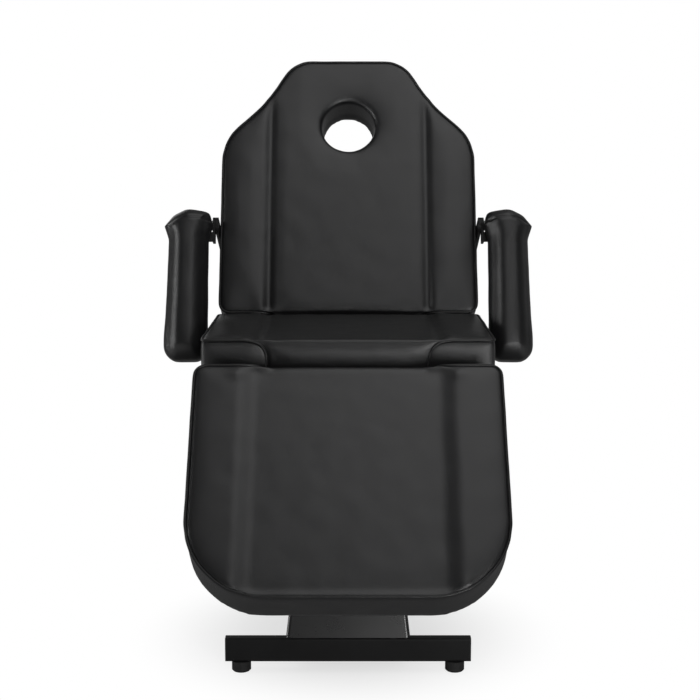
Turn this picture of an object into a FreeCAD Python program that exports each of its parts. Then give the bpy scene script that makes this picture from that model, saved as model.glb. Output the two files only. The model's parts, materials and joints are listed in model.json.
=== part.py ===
"""Three-section beauty chair on a tapered pedestal.

Millimetres. +Z is up, the sitter faces -Y and the origin lies on the floor below the middle of the chair.
The backrest, the legrest and the armrests are drawn lying flat about their pivots and are then turned
to the position in which the chair stands for sitting.
"""
import FreeCAD, Part
import Sketcher
import math
import os
from FreeCAD import Placement, Rotation, Vector

os.makedirs("parts", exist_ok=True)
doc = FreeCAD.newDocument("beauty_chair")
sheet = doc.addObject("Spreadsheet::Sheet", "dims")

SIZES = {
    # pads
    "seat_width": 610,
    "seat_depth": 420,
    "seat_height": 690,
    "seat_shift": 25,
    "back_width": 606,
    "back_length": 650,
    "leg_width": 616,
    "leg_length": 498,
    "leg_pad_lead": 12,
    "cushion_height": 85,
    "board_thickness": 15,
    "board_inset": 6,
    "pad_crown": 5,
    "side_swell": 4,
    "channel_half": 192,
    "channel_depth": 12,
    "channel_side": 24,
    "panel_drop": 5,
    "waterfall_radius": 20,
    "piped_radius": 6,
    "pad_corner": 22,
    "seat_corner": 12,
    "leg_toe_corner": 155,
    "shoulder_rise": 444,
    "shoulder_radius": 105,
    "neck_half": 204,
    "neck_rise": 528,
    "neck_radius": 170,
    "head_half": 133,
    "head_radius": 67,
    "face_hole_radius": 65,
    "face_hole_rise": 478,
    # tubes of the frames
    "tube_side": 30,
    "tube_wall": 2,
    "tube_round": 4,
    "rail_inset": 23,
    "seat_rail_rear_reach": 30,
    "seat_rail_front_stop": 15,
    "cross_tube_distance": 90,
    # section hinges
    "hinge_plate": 5,
    "hinge_play": 0.5,
    "hinge_eye": 12,
    "hinge_pin_radius": 6,
    "fit_play": 0.3,
    "pin_head_radius": 10,
    "pin_head": 5,
    "back_hinge_gap": 30,
    "back_hinge_sink": 23,
    "back_angle": 65,
    "back_rail_start": 20,
    "back_rail_end": 415,
    "back_lower_tube_distance": 45,
    "back_upper_tube_distance": 370,
    "leg_hinge_gap": 24,
    "leg_angle": 50,
    "leg_rail_start": 16,
    "leg_rail_end": 400,
    "leg_upper_tube_distance": 60,
    "leg_lower_tube_distance": 360,
    "leg_plate_reach": 60,
    # base
    "foot_height": 22,
    "foot_radius": 20,
    "foot_round": 3,
    "foot_spread": 222,
    "foot_bore": 3.3,
    "foot_recess_radius": 7.5,
    "foot_recess": 8,
    "screw_radius": 3,
    "screw_head_radius": 6,
    "screw_head": 4,
    "screw_length": 22,
    "bar_length": 510,
    "bar_height": 50,
    "bar_depth": 25,
    "bar_spread": 275,
    "cap_flange": 2,
    "cap_insert": 14,
    "cap_play": 0.2,
    "base_rail_spread": 117,
    "pedestal_foot_width": 258,
    "pedestal_foot_depth": 540,
    "pedestal_top_width": 142,
    "pedestal_top_depth": 230,
    "pedestal_sheet": 3,
    "pedestal_round": 8,
    "top_plate": 8,
    "top_plate_width": 200,
    "top_plate_depth": 250,
    "top_plate_corner": 15,
    "bolt_radius": 5,
    "bolt_hole_play": 0.5,
    "bolt_head_radius": 9.8,
    "bolt_head": 6.4,
    "bolt_spread": 50,
    "bolt_reach": 14,
    # telescopic stays
    "stay_bar_height": 24,
    "stay_bar_width": 10,
    "stay_wall": 2.5,
    "stay_pin_radius": 5,
    "stay_eye_reach": 18,
    "stay_slot_run": 20,
    "stay_bar_end": 12,
    "stay_lug": 5,
    "stay_pin_head": 4,
    "stay_pin_head_radius": 8,
    "notch_pitch": 16,
    "notch_depth": 4,
    "notch_start": 60,
    "back_stay_rise": 357,
    "back_stay_reach": 40,
    "back_stay_base": 90,
    "back_stay_drop": 150,
    "back_stay_stop_gap": 19.5,
    "back_stay_bar_length": 300,
    "leg_stay_distance": 60,
    "leg_stay_hang_height": 70,
    "leg_stay_drop": 60,
    "leg_stay_stop_gap": 68.4,
    "leg_stay_bar_length": 330,
    # armrests
    "arm_width": 94,
    "arm_length": 356,
    "arm_height": 70,
    "arm_board": 12,
    "arm_board_inset": 8,
    "arm_seat_gap": 21,
    "arm_plate_gap": 7.5,
    "arm_crown": 8,
    "arm_tip_radius": 28,
    "arm_heel_radius": 42,
    "arm_edge_radius": 14,
    "arm_pivot_along": 225,
    "arm_pivot_rise": 42,
    "arm_lean": 7,
    "arm_heel": 26,
    "arm_drop": 16,
    "arm_strap_width": 38,
    "arm_strap": 6,
    "arm_strap_gap": 3,
    "arm_plate_length": 170,
    "arm_web_length": 42,
    "arm_plate_lap": 44.5,
    "arm_stud_radius": 6,
    "arm_washer": 2,
    "arm_washer_radius": 12,
    "arm_nut_radius": 10.4,
    "arm_nut": 9,
    # all cuts run past their faces by this
    "overrun": 5,
}

for row, (alias, number) in enumerate(SIZES.items(), 1):
    sheet.set(f"A{row}", alias)
    sheet.set(f"B{row}", str(number))
    sheet.setAlias(f"B{row}", alias)
doc.recompute()


class Length:
    """A number together with the spreadsheet formula that it comes from."""

    def __init__(self, formula, value):
        self.formula = formula
        self.value = value

    @staticmethod
    def of(item):
        if isinstance(item, Length):
            return item
        return Length(repr(item), float(item))

    def __add__(self, other):
        other = Length.of(other)
        return Length(f"({self.formula} + {other.formula})", self.value + other.value)

    def __sub__(self, other):
        other = Length.of(other)
        return Length(f"({self.formula} - {other.formula})", self.value - other.value)

    def __mul__(self, other):
        other = Length.of(other)
        return Length(f"({self.formula} * {other.formula})", self.value * other.value)

    def __truediv__(self, other):
        other = Length.of(other)
        return Length(f"({self.formula} / {other.formula})", self.value / other.value)

    def __neg__(self):
        return Length(f"(0 - {self.formula})", -self.value)


ZERO = Length.of(0)


def cell(alias):
    return Length(f"dims.{alias}", float(sheet.get(alias)))


def cosine(angle):
    return Length(f"cos({angle.formula})", math.cos(math.radians(angle.value)))


def sine(angle):
    return Length(f"sin({angle.formula})", math.sin(math.radians(angle.value)))


def root(square):
    return Length(f"sqrt({square.formula})", math.sqrt(square.value))


def smaller(one, other):
    return Length(f"min({one.formula}; {other.formula})", min(one.value, other.value))


def larger(one, other):
    return Length(f"max({one.formula}; {other.formula})", max(one.value, other.value))


class Frame:
    """A place in the chair: a point in the middle plane and a turn about X."""

    def __init__(self, y, z, angle):
        self.y = y
        self.z = z
        self.angle = angle

    def point(self, y, z):
        across = cosine(self.angle)
        along = sine(self.angle)
        return self.y + y * across - z * along, self.z + y * along + z * across

    def place(self, item):
        item.Placement = Placement(Vector(), Rotation(Vector(1, 0, 0), self.angle.value))
        item.setExpression("Placement.Base.y", self.y.formula)
        item.setExpression("Placement.Base.z", self.z.formula)
        item.setExpression("Placement.Rotation.Angle", self.angle.formula)
        return item


# the pedestal and the seat stand a little behind the middle of the chair's outline
shift = cell("seat_shift")
chair_frame = Frame(shift, ZERO, ZERO)

DIRECTIONS = {"x": Vector(1, 0, 0), "y": Vector(0, 1, 0), "z": Vector(0, 0, 1)}
ROD_TURNS = {
    "x": Rotation(Vector(0, 1, 0), 90),
    "y": Rotation(Vector(1, 0, 0), -90),
    "z": Rotation(),
}
# an edge counts as running along an axis when the cosine of the angle between them is more than this
NEARLY_ALONG = 0.9
BACK_NOTCHES = 9
LEG_NOTCHES = 7
finished = []


class Piece:
    """A body built up feature by feature in its own frame."""

    def __init__(self, label, frame=None):
        self.body = doc.addObject("PartDesign::Body", label)
        self.frame = frame
        self.label = label

    def feature(self, kind, sizes):
        made = self.body.newObject(f"PartDesign::{kind}", f"{self.label}_{kind}")
        for prop, length in sizes.items():
            made.setExpression(prop, Length.of(length).formula)
        return made

    def seat(self, made, start, turn=None):
        made.Placement = Placement(Vector(), turn or Rotation())
        for axis, length in zip("xyz", start):
            made.setExpression(f"Placement.Base.{axis}", Length.of(length).formula)
        return made

    def block(self, corner, extent, take=False):
        kind = "SubtractiveBox" if take else "AdditiveBox"
        sizes = dict(zip(("Length", "Width", "Height"), extent))
        return self.seat(self.feature(kind, sizes), corner)

    def rod(self, axis, start, length, radius, take=False):
        kind = "SubtractiveCylinder" if take else "AdditiveCylinder"
        made = self.feature(kind, {"Radius": radius, "Height": length})
        return self.seat(made, start, ROD_TURNS[axis])

    def hexagon(self, axis, start, length, radius):
        made = self.feature("AdditivePrism", {"Circumradius": radius, "Height": length})
        made.Polygon = 6
        return self.seat(made, start, ROD_TURNS[axis])

    def sketch(self, corners):
        """A closed outline of straight lines in the XZ plane, with its corners bound to the sheet."""
        drawn = self.body.newObject("Sketcher::SketchObject", f"{self.label}_sketch")
        planes = self.body.Origin.OriginFeatures
        upright = [item for item in planes if item.Role == "XZ_Plane"][0]
        drawn.AttachmentSupport = (upright, "")
        drawn.MapMode = "FlatFace"
        spots = [Vector(Length.of(u).value, Length.of(v).value, 0) for u, v in corners]
        count = len(spots)
        for index in range(count):
            drawn.addGeometry(Part.LineSegment(spots[index], spots[(index + 1) % count]))
        for index in range(count):
            drawn.addConstraint(Sketcher.Constraint("Coincident", index, 2, (index + 1) % count, 1))
        for index, pair in enumerate(corners):
            for kind, axis_line, length in zip(("DistanceX", "DistanceY"), (-2, -1), pair):
                length = Length.of(length)
                if length.formula == ZERO.formula or length.formula == "0":
                    drawn.addConstraint(Sketcher.Constraint("PointOnObject", index, 1, axis_line))
                    continue
                number = drawn.addConstraint(
                    Sketcher.Constraint(kind, -1, 1, index, 1, length.value)
                )
                drawn.setExpression(f"Constraints[{number}]", length.formula)
        return drawn

    def turned(self, corners):
        """A turned piece: half an outline in the XZ plane, spun about its upright axis."""
        drawn = self.sketch(corners)
        made = self.body.newObject("PartDesign::Revolution", f"{self.label}_turned")
        made.Profile = drawn
        made.ReferenceAxis = (drawn, ["V_Axis"])
        made.Angle = 360
        return made

    def rounded(self, radius, along):
        """Round the straight edges that run along one axis."""
        doc.recompute()
        base = self.body.Tip
        names = []
        for index, edge in enumerate(base.Shape.Edges, 1):
            straight = isinstance(edge.Curve, Part.Line)
            if straight and abs(edge.tangentAt(edge.FirstParameter).dot(DIRECTIONS[along])) > NEARLY_ALONG:
                names.append(f"Edge{index}")
        made = self.feature("Fillet", {"Radius": radius})
        made.Base = (base, names)
        return made

    def done(self):
        (self.frame or chair_frame).place(self.body)
        self.body.Label = self.label
        finished.append(self.body)
        return self.body


def mirrored(source, label, normal=Vector(1, 0, 0)):
    twin = doc.addObject("Part::Mirroring", label)
    twin.Source = source
    twin.Normal = normal
    twin.setExpression("Base.y", shift.formula)
    twin.Label = label
    return twin


def twin_of(source, label):
    """The same piece on the other side of the chair, as a node of its own."""
    twin = mirrored(source, label)
    finished.append(twin)
    return twin


def group(label, members):
    """Like pieces that share one node."""
    for member in members:
        if member in finished:
            finished.remove(member)
    together = doc.addObject("Part::Compound", label)
    together.Links = members
    together.Label = label
    finished.append(together)
    return together


def pair(label, source):
    return group(label, [source, mirrored(source, f"{label}_other")])


def quartet(label, source):
    right = mirrored(source, f"{label}_right")
    rear = mirrored(source, f"{label}_rear", Vector(0, 1, 0))
    rear_right = mirrored(rear, f"{label}_rear_right")
    return group(label, [source, right, rear, rear_right])


# sizes and places that follow from the driving ones
pad_thickness = cell("cushion_height") + cell("board_thickness")
frame_top = cell("seat_height") - pad_thickness
frame_bottom = frame_top - cell("tube_side")
tube = cell("tube_side")
wall = cell("tube_wall")
plate = cell("hinge_plate")
play = cell("fit_play")
overrun = cell("overrun")
seat_half_depth = cell("seat_depth") / 2
narrowest = smaller(smaller(cell("seat_width"), cell("back_width")), cell("leg_width"))
rail_outside = narrowest / 2 - cell("rail_inset")
swing_rail_outside = rail_outside + plate + cell("hinge_play")
back_frame = Frame(
    shift + seat_half_depth + cell("back_hinge_gap") / 2,
    cell("seat_height") - cell("back_hinge_sink"),
    cell("back_angle"),
)
leg_frame = Frame(
    shift - seat_half_depth - cell("leg_hinge_gap") / 2,
    frame_top,
    cell("leg_angle"),
)
back_start = cell("back_hinge_gap") / 2
leg_start = cell("leg_hinge_gap") / 2
back_under = cell("back_hinge_sink") - pad_thickness
back_rail_under = back_under - tube


def square_tube(label, axis, start, length, frame=None, height=None, depth=None, holes=()):
    """A hollow section with rounded outer corners, open at both ends."""
    height = height or tube
    depth = depth or tube
    piece = Piece(label, frame)
    x, y, z = start
    if axis == "x":
        piece.block(start, (length, depth, height))
        bore_start = (x - overrun, y + wall, z + wall)
        bore = (length + overrun * 2, depth - wall * 2, height - wall * 2)
    else:
        piece.block(start, (depth, length, height))
        bore_start = (x + wall, y - overrun, z + wall)
        bore = (depth - wall * 2, length + overrun * 2, height - wall * 2)
    piece.rounded(cell("tube_round"), axis)
    piece.block(bore_start, bore, take=True)
    for hole_start, hole_length, hole_radius in holes:
        piece.rod("z", hole_start, hole_length, hole_radius, take=True)
    return piece.done()


def build_feet():
    """Rubber feet screwed up into the two foot bars."""
    foot_y = -(cell("bar_spread") - cell("bar_depth") / 2)
    place = Frame(shift + foot_y, ZERO, ZERO)
    foot = Piece("foot", place)
    foot.turned(
        [
            (cell("foot_bore"), cell("foot_recess")),
            (cell("foot_recess_radius"), cell("foot_recess")),
            (cell("foot_recess_radius"), ZERO),
            (cell("foot_radius") - cell("foot_round"), ZERO),
            (cell("foot_radius"), cell("foot_round")),
            (cell("foot_radius"), cell("foot_height")),
            (cell("foot_bore"), cell("foot_height")),
        ]
    )
    screw = Piece("screw", place)
    screw.turned(
        [
            (ZERO, cell("foot_recess") - cell("screw_head")),
            (cell("screw_head_radius"), cell("foot_recess") - cell("screw_head")),
            (cell("screw_head_radius"), cell("foot_recess")),
            (cell("screw_radius"), cell("foot_recess")),
            (cell("screw_radius"), cell("foot_recess") + cell("screw_length")),
            (ZERO, cell("foot_recess") + cell("screw_length")),
        ]
    )
    for piece, label in ((foot, "rubber_feet"), (screw, "foot_screws")):
        solid = piece.done()
        solid.setExpression("Placement.Base.x", (-cell("foot_spread")).formula)
        quartet(label, solid)


def build_base():
    """Two foot bars on edge, joined by two rails that carry the pedestal's side walls."""
    length = cell("bar_length") - cell("cap_flange") * 2
    depth = cell("bar_depth")
    height = cell("bar_height")
    low = cell("foot_height")
    front = -cell("bar_spread")
    rear = cell("bar_spread") - depth
    for label, y in (("front_foot_bar", front), ("rear_foot_bar", rear)):
        piece = Piece(label)
        piece.block((-length / 2, y, low), (length, depth, height))
        piece.rounded(cell("tube_round"), "x")
        piece.block(
            (-length / 2 - overrun, y + wall, low + wall),
            (length + overrun * 2, depth - wall * 2, height - wall * 2),
            take=True,
        )
        for x in (-cell("foot_spread"), cell("foot_spread")):
            start = (x, y + depth / 2, low - overrun)
            piece.rod("z", start, overrun + wall * 2, cell("foot_bore"), take=True)
        piece.done()
    rail_length = rear - (front + depth)
    for label, x in (
        ("left_base_rail", -cell("base_rail_spread")),
        ("right_base_rail", cell("base_rail_spread")),
    ):
        start = (x - depth / 2, front + depth, low)
        square_tube(label, "y", start, rail_length, height=height, depth=depth)

    cap = Piece("cap")
    edge = -cell("bar_length") / 2
    snug = wall + cell("cap_play")
    cap.block((edge, front, low), (cell("cap_flange"), depth, height))
    cap.rounded(cell("tube_round"), "x")
    cap.block(
        (edge + cell("cap_flange"), front + snug, low + snug),
        (cell("cap_insert"), depth - snug * 2, height - snug * 2),
    )
    quartet("foot_bar_end_caps", cap.done())


pedestal_low = cell("foot_height") + cell("bar_height")
pedestal_high = frame_bottom - cell("top_plate")
pedestal_rise = pedestal_high - pedestal_low
pedestal_lean = (cell("pedestal_foot_depth") - cell("pedestal_top_depth")) / 2 / pedestal_rise


def pedestal_wedge(piece, kind, inset, low, high):
    """A tapered block; the slopes stay the same however far it is inset or lengthened."""
    side_lean = (cell("pedestal_foot_width") - cell("pedestal_top_width")) / 2 / pedestal_rise
    foot_x = cell("pedestal_foot_width") / 2 - inset + side_lean * (pedestal_low - low)
    foot_y = cell("pedestal_foot_depth") / 2 - inset + pedestal_lean * (pedestal_low - low)
    top_x = foot_x - side_lean * (high - low)
    top_y = foot_y - pedestal_lean * (high - low)
    sizes = {
        "Xmin": -foot_x,
        "Xmax": foot_x,
        "Zmin": -foot_y,
        "Zmax": foot_y,
        "X2min": -top_x,
        "X2max": top_x,
        "Z2min": -top_y,
        "Z2max": top_y,
        "Ymin": ZERO,
        "Ymax": high - low,
    }
    return piece.seat(piece.feature(kind, sizes), (ZERO, ZERO, low), Rotation(Vector(1, 0, 0), 90))


def build_pedestal():
    """A hollow tapered pedestal of bent sheet with a bolted top plate."""
    shell = Piece("pedestal_shell")
    pedestal_wedge(shell, "AdditiveWedge", ZERO, pedestal_low, pedestal_high)
    shell.rounded(cell("pedestal_round"), "z")
    pedestal_wedge(
        shell, "SubtractiveWedge", cell("pedestal_sheet"), pedestal_low - overrun, pedestal_high + overrun
    )
    shell.done()

    holes = [(x, y) for x in (-cell("bolt_spread"), cell("bolt_spread"))
             for y in (-cell("cross_tube_distance"), cell("cross_tube_distance"))]
    hole_radius = cell("bolt_radius") + cell("bolt_hole_play")
    top = Piece("pedestal_top_plate")
    width = cell("top_plate_width")
    depth = cell("top_plate_depth")
    top.block((-width / 2, -depth / 2, pedestal_high), (width, depth, cell("top_plate")))
    top.rounded(cell("top_plate_corner"), "z")
    for x, y in holes:
        start = (x, y, pedestal_high - overrun)
        top.rod("z", start, cell("top_plate") + overrun * 2, hole_radius, take=True)
    top.done()

    bolt = Piece("bolt", Frame(shift - cell("cross_tube_distance"), pedestal_high, ZERO))
    bolt.hexagon("z", (ZERO, ZERO, -cell("bolt_head")), cell("bolt_head"), cell("bolt_head_radius"))
    bolt.rod("z", (ZERO, ZERO, ZERO), cell("top_plate") + cell("bolt_reach"), cell("bolt_radius"))
    solid = bolt.done()
    solid.setExpression("Placement.Base.x", (-cell("bolt_spread")).formula)
    quartet("pedestal_bolts", solid)

    for label, y in (
        ("front_seat_cross_tube", -cell("cross_tube_distance")),
        ("rear_seat_cross_tube", cell("cross_tube_distance")),
    ):
        inside = rail_outside - tube
        holes = [
            ((x, y, frame_bottom - overrun), overrun + wall * 2, hole_radius)
            for x in (-cell("bolt_spread"), cell("bolt_spread"))
        ]
        square_tube(label, "x", (-inside, y - tube / 2, frame_bottom), inside * 2, holes=holes)


def eye_plate(label, frame, x, thickness, radius, hole, bar_corner, bar_extent, eye=(ZERO, ZERO)):
    """A flat bar that ends in a round eye."""
    piece = Piece(label, frame)
    y, z = eye
    piece.rod("x", (x, y, z), thickness, radius)
    bar_y, bar_z = bar_corner
    bar_length, bar_width = bar_extent
    piece.block((x, bar_y, bar_z), (thickness, bar_length, bar_width))
    piece.rod("x", (x - overrun, y, z), thickness + overrun * 2, hole, take=True)
    return piece


def hinge_pin(label, frame, inner, outer):
    """A shoulder bolt: a domed head outside, a shank through both plates and a nut inside."""
    pin = Piece(label, frame)
    radius = cell("hinge_pin_radius")
    head = cell("pin_head_radius")
    pin.rod("x", (inner - cell("pin_head"), ZERO, ZERO), outer - inner + cell("pin_head"), radius)
    pin.rod("x", (outer, ZERO, ZERO), cell("pin_head"), head)
    pin.hexagon("x", (inner - cell("pin_head"), ZERO, ZERO), cell("pin_head"), head)
    return pin.done()


def build_seat():
    """Two rails under the seat board, with the hinge plates of the other two sections."""
    rear_end = seat_half_depth + cell("seat_rail_rear_reach")
    front_end = -seat_half_depth + cell("seat_rail_front_stop")
    for label, x in (("left_seat_rail", -rail_outside), ("right_seat_rail", rail_outside - tube)):
        square_tube(label, "y", (x, front_end, frame_bottom), rear_end - front_end)

    eye = cell("hinge_eye")
    hole = cell("hinge_pin_radius")
    upright = Frame(back_frame.y, back_frame.z, ZERO)
    tall = back_frame.z - frame_bottom
    seat_plate = eye_plate(
        "rear_plate", upright, rail_outside, plate, eye, hole, (-eye, -tall), (eye * 2, tall)
    )
    pair("seat_rear_hinge_plates", seat_plate.done())

    level = Frame(leg_frame.y, leg_frame.z, ZERO)
    leg_plate = eye_plate(
        "front_plate", level, rail_outside, plate, eye, hole, (ZERO, -eye), (cell("leg_plate_reach"), eye)
    )
    tail = eye * 3
    leg_plate.block((rail_outside, cell("leg_plate_reach") - tail, -tube), (plate, tail, tube - eye))
    pair("seat_front_hinge_plates", leg_plate.done())

    inner = rail_outside
    outer = swing_rail_outside + plate + cell("fit_play")
    pair("backrest_hinge_pins", hinge_pin("back_pin", upright, inner, outer))
    pair("legrest_hinge_pins", hinge_pin("leg_pin", level, inner, outer))


def swing_hole():
    return cell("hinge_pin_radius") + play


def build_backrest():
    """The backrest's tube frame, board and hinge plates."""
    start = cell("back_rail_start")
    length = cell("back_rail_end") - start
    for label, x in (
        ("left_backrest_rail", -swing_rail_outside),
        ("right_backrest_rail", swing_rail_outside - tube),
    ):
        square_tube(label, "y", (x, start, back_rail_under), length, back_frame)
    inside = swing_rail_outside - tube
    for label, y in (
        ("lower_backrest_cross_tube", cell("back_lower_tube_distance")),
        ("middle_backrest_cross_tube", back_stay_end[0] - tube / 2),
        ("upper_backrest_cross_tube", cell("back_upper_tube_distance")),
    ):
        square_tube(label, "x", (-inside, y, back_rail_under), inside * 2, back_frame)

    eye = cell("hinge_eye")
    swing_plate = eye_plate(
        "back_plate",
        back_frame,
        swing_rail_outside,
        plate,
        eye,
        swing_hole(),
        (-eye, back_rail_under),
        (eye * 2, -back_rail_under),
    )
    swing_plate.block(
        (swing_rail_outside, ZERO, back_rail_under),
        (plate, cell("leg_plate_reach"), tube),
    )
    pair("backrest_hinge_plates", swing_plate.done())


def build_legrest():
    """The legrest's tube frame and hinge plates."""
    start = cell("leg_rail_start")
    length = cell("leg_rail_end") - start
    for label, x in (
        ("left_legrest_rail", -swing_rail_outside),
        ("right_legrest_rail", swing_rail_outside - tube),
    ):
        square_tube(label, "y", (x, -cell("leg_rail_end"), -tube), length, leg_frame)
    inside = swing_rail_outside - tube
    for label, y in (
        ("upper_legrest_cross_tube", -cell("leg_upper_tube_distance") - tube),
        ("lower_legrest_cross_tube", -cell("leg_lower_tube_distance") - tube),
    ):
        square_tube(label, "x", (-inside, y, -tube), inside * 2, leg_frame)
    eye = cell("hinge_eye")
    reach = cell("leg_plate_reach")
    swing_plate = eye_plate(
        "leg_plate", leg_frame, swing_rail_outside, plate, eye, swing_hole(), (-reach, -eye), (reach, eye)
    )
    swing_plate.block((swing_rail_outside, -reach, -tube), (plate, reach - eye, tube - eye))
    pair("legrest_hinge_plates", swing_plate.done())


# the stays: each triangle of section pivot, stay pivot and stay end has two equal sides,
# so a stay always turns by half of what its section turns
def slope_of(lean):
    return Length(f"atan({lean.formula})", math.degrees(math.atan(lean.value)))


def heading(from_point, to_point):
    run = to_point[0] - from_point[0]
    rise = to_point[1] - from_point[1]
    value = math.degrees(math.atan2(rise.value, run.value))
    return Length(f"atan2({rise.formula}; {run.formula})", value)


def distance(from_point, to_point):
    run = to_point[0] - from_point[0]
    rise = to_point[1] - from_point[1]
    return root(run * run + rise * rise)


pedestal_slope = slope_of(pedestal_lean)
back_stay_sink = pedestal_lean * (cell("back_stay_rise") - pedestal_low)
back_stay_face = shift + cell("pedestal_foot_depth") / 2 - back_stay_sink
back_bracket_frame = Frame(back_stay_face, cell("back_stay_rise"), pedestal_slope)
back_stay_pivot = back_bracket_frame.point(cell("back_stay_reach"), ZERO)
back_stay_arm = distance((back_frame.y, back_frame.z), back_stay_pivot)
back_stay_along = root(back_stay_arm * back_stay_arm - cell("back_stay_drop") * cell("back_stay_drop"))
back_stay_end = (back_stay_along, -cell("back_stay_drop"))
back_stay_target = back_frame.point(*back_stay_end)
back_stay_frame = Frame(*back_stay_pivot, heading(back_stay_pivot, back_stay_target))
back_stay_span = distance(back_stay_pivot, back_stay_target)
back_stay_flat = (back_frame.y + back_stay_end[0], back_frame.z + back_stay_end[1])
back_stay_channel_length = distance(back_stay_pivot, back_stay_flat) - cell("back_stay_stop_gap")

leg_stay_pivot = (shift + cell("leg_stay_distance"), frame_top - cell("leg_stay_hang_height"))
leg_stay_arm = distance((leg_frame.y, leg_frame.z), leg_stay_pivot)
leg_stay_along = root(leg_stay_arm * leg_stay_arm - cell("leg_stay_drop") * cell("leg_stay_drop"))
leg_stay_end = (-leg_stay_along, -cell("leg_stay_drop"))
leg_stay_target = leg_frame.point(*leg_stay_end)
leg_stay_frame = Frame(*leg_stay_pivot, heading(leg_stay_pivot, leg_stay_target))
leg_stay_span = distance(leg_stay_pivot, leg_stay_target)
leg_stay_channel_length = leg_stay_span - cell("leg_stay_stop_gap")

channel_half = cell("stay_bar_width") / 2 + play + cell("stay_wall")
channel_deep = cell("stay_bar_height") / 2 + play + cell("stay_wall")
rail_inside = rail_outside - tube
leg_stay_x = rail_inside - cell("stay_lug") - play - channel_half


def stay_channel(label, frame, x, length):
    """The outer half of a stay: a box section that hangs on its pivot pin."""
    channel = Piece(label, frame)
    eye = cell("stay_eye_reach")
    bore = cell("stay_bar_width") / 2 + play
    deep = cell("stay_bar_height") / 2 + play
    outside = (channel_half * 2, length + eye, channel_deep * 2)
    channel.block((x - channel_half, -eye, -channel_deep), outside)
    channel.rounded(cell("stay_wall"), "y")
    inside = (bore * 2, length + eye + overrun * 2, deep * 2)
    channel.block((x - bore, -eye - overrun, -deep), inside, take=True)
    channel.rod(
        "x",
        (x - channel_half - overrun, ZERO, ZERO),
        channel_half * 2 + overrun * 2,
        cell("stay_pin_radius") + play,
        take=True,
    )
    return channel.done()


def stay_bar(label, frame, x, span, length, notches):
    """The inner half of a stay: a flat bar with notches below and a slotted end."""
    bar = Piece(label, frame)
    half = cell("stay_bar_width") / 2
    high = cell("stay_bar_height") / 2
    slot = cell("stay_pin_radius") + play
    tip = span + cell("stay_slot_run") + cell("stay_bar_end")
    bar.block((x - half, tip - length, -high), (half * 2, length, high * 2))
    bar.rounded(cell("stay_wall"), "x")
    slot_run = (half * 2 + overrun * 2, cell("stay_slot_run"), slot * 2)
    bar.block((x - half - overrun, span, -slot), slot_run, take=True)
    for end in (span, span + cell("stay_slot_run")):
        bar.rod("x", (x - half - overrun, end, ZERO), half * 2 + overrun * 2, slot, take=True)
    notch = bar.rod(
        "x",
        (x - half - overrun, tip - length + cell("notch_start"), -high),
        half * 2 + overrun * 2,
        cell("notch_depth"),
        take=True,
    )
    row = bar.body.newObject("PartDesign::LinearPattern", f"{label}_notches")
    row.Originals = [notch]
    axis = [item for item in bar.body.Origin.OriginFeatures if item.Role == "Y_Axis"][0]
    row.Direction = (axis, [""])
    row.setExpression("Length", (cell("notch_pitch") * (notches - 1)).formula)
    row.Occurrences = notches
    bar.body.Tip = row
    return bar.done()


def build_back_stay():
    """The single stay behind the pedestal, with its bracket, its clevis and their pins."""
    lug = cell("stay_lug")
    eye = cell("hinge_eye")
    cheek = channel_half + play
    pin = cell("stay_pin_radius")
    half_base = cell("back_stay_base") / 2
    reach = cell("back_stay_reach")
    bracket = Piece("backrest_stay_bracket", back_bracket_frame)
    bracket.block((-cheek - lug, ZERO, -half_base), ((cheek + lug) * 2, lug, half_base * 2))
    for x in (-cheek - lug, cheek):
        bracket.block((x, ZERO, -eye), (lug, reach, eye * 2))
        bracket.rod("x", (x, reach, ZERO), lug, eye)
    bracket.rod("x", (-cheek - lug - overrun, reach, ZERO), (cheek + lug + overrun) * 2, pin, take=True)
    bracket.done()

    clevis = Piece("backrest_stay_clevis", back_frame)
    y, z = back_stay_end
    clevis.block((-cheek - lug, y - tube / 2, back_rail_under - lug), ((cheek + lug) * 2, tube, lug))
    for x in (-cheek - lug, cheek):
        clevis.block((x, y - eye, z), (lug, eye * 2, back_rail_under - z))
        clevis.rod("x", (x, y, z), lug, eye)
    clevis.rod("x", (-cheek - lug - overrun, y, z), (cheek + lug + overrun) * 2, pin, take=True)
    clevis.done()

    head = cell("stay_pin_head")
    for label, frame, centre in (
        ("backrest_stay_pivot_pin", back_bracket_frame, (reach, ZERO)),
        ("backrest_stay_end_pin", back_frame, back_stay_end),
    ):
        piece = Piece(label, frame)
        outer = cheek + lug
        piece.rod("x", (-outer - head, *centre), outer * 2 + head * 2, pin)
        for x in (-outer - head, outer):
            piece.rod("x", (x, *centre), head, cell("stay_pin_head_radius"))
        piece.done()

    stay_channel("backrest_stay_channel", back_stay_frame, ZERO, back_stay_channel_length)
    stay_bar(
        "backrest_stay_bar",
        back_stay_frame,
        ZERO,
        back_stay_span,
        cell("back_stay_bar_length"),
        BACK_NOTCHES,
    )


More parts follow.
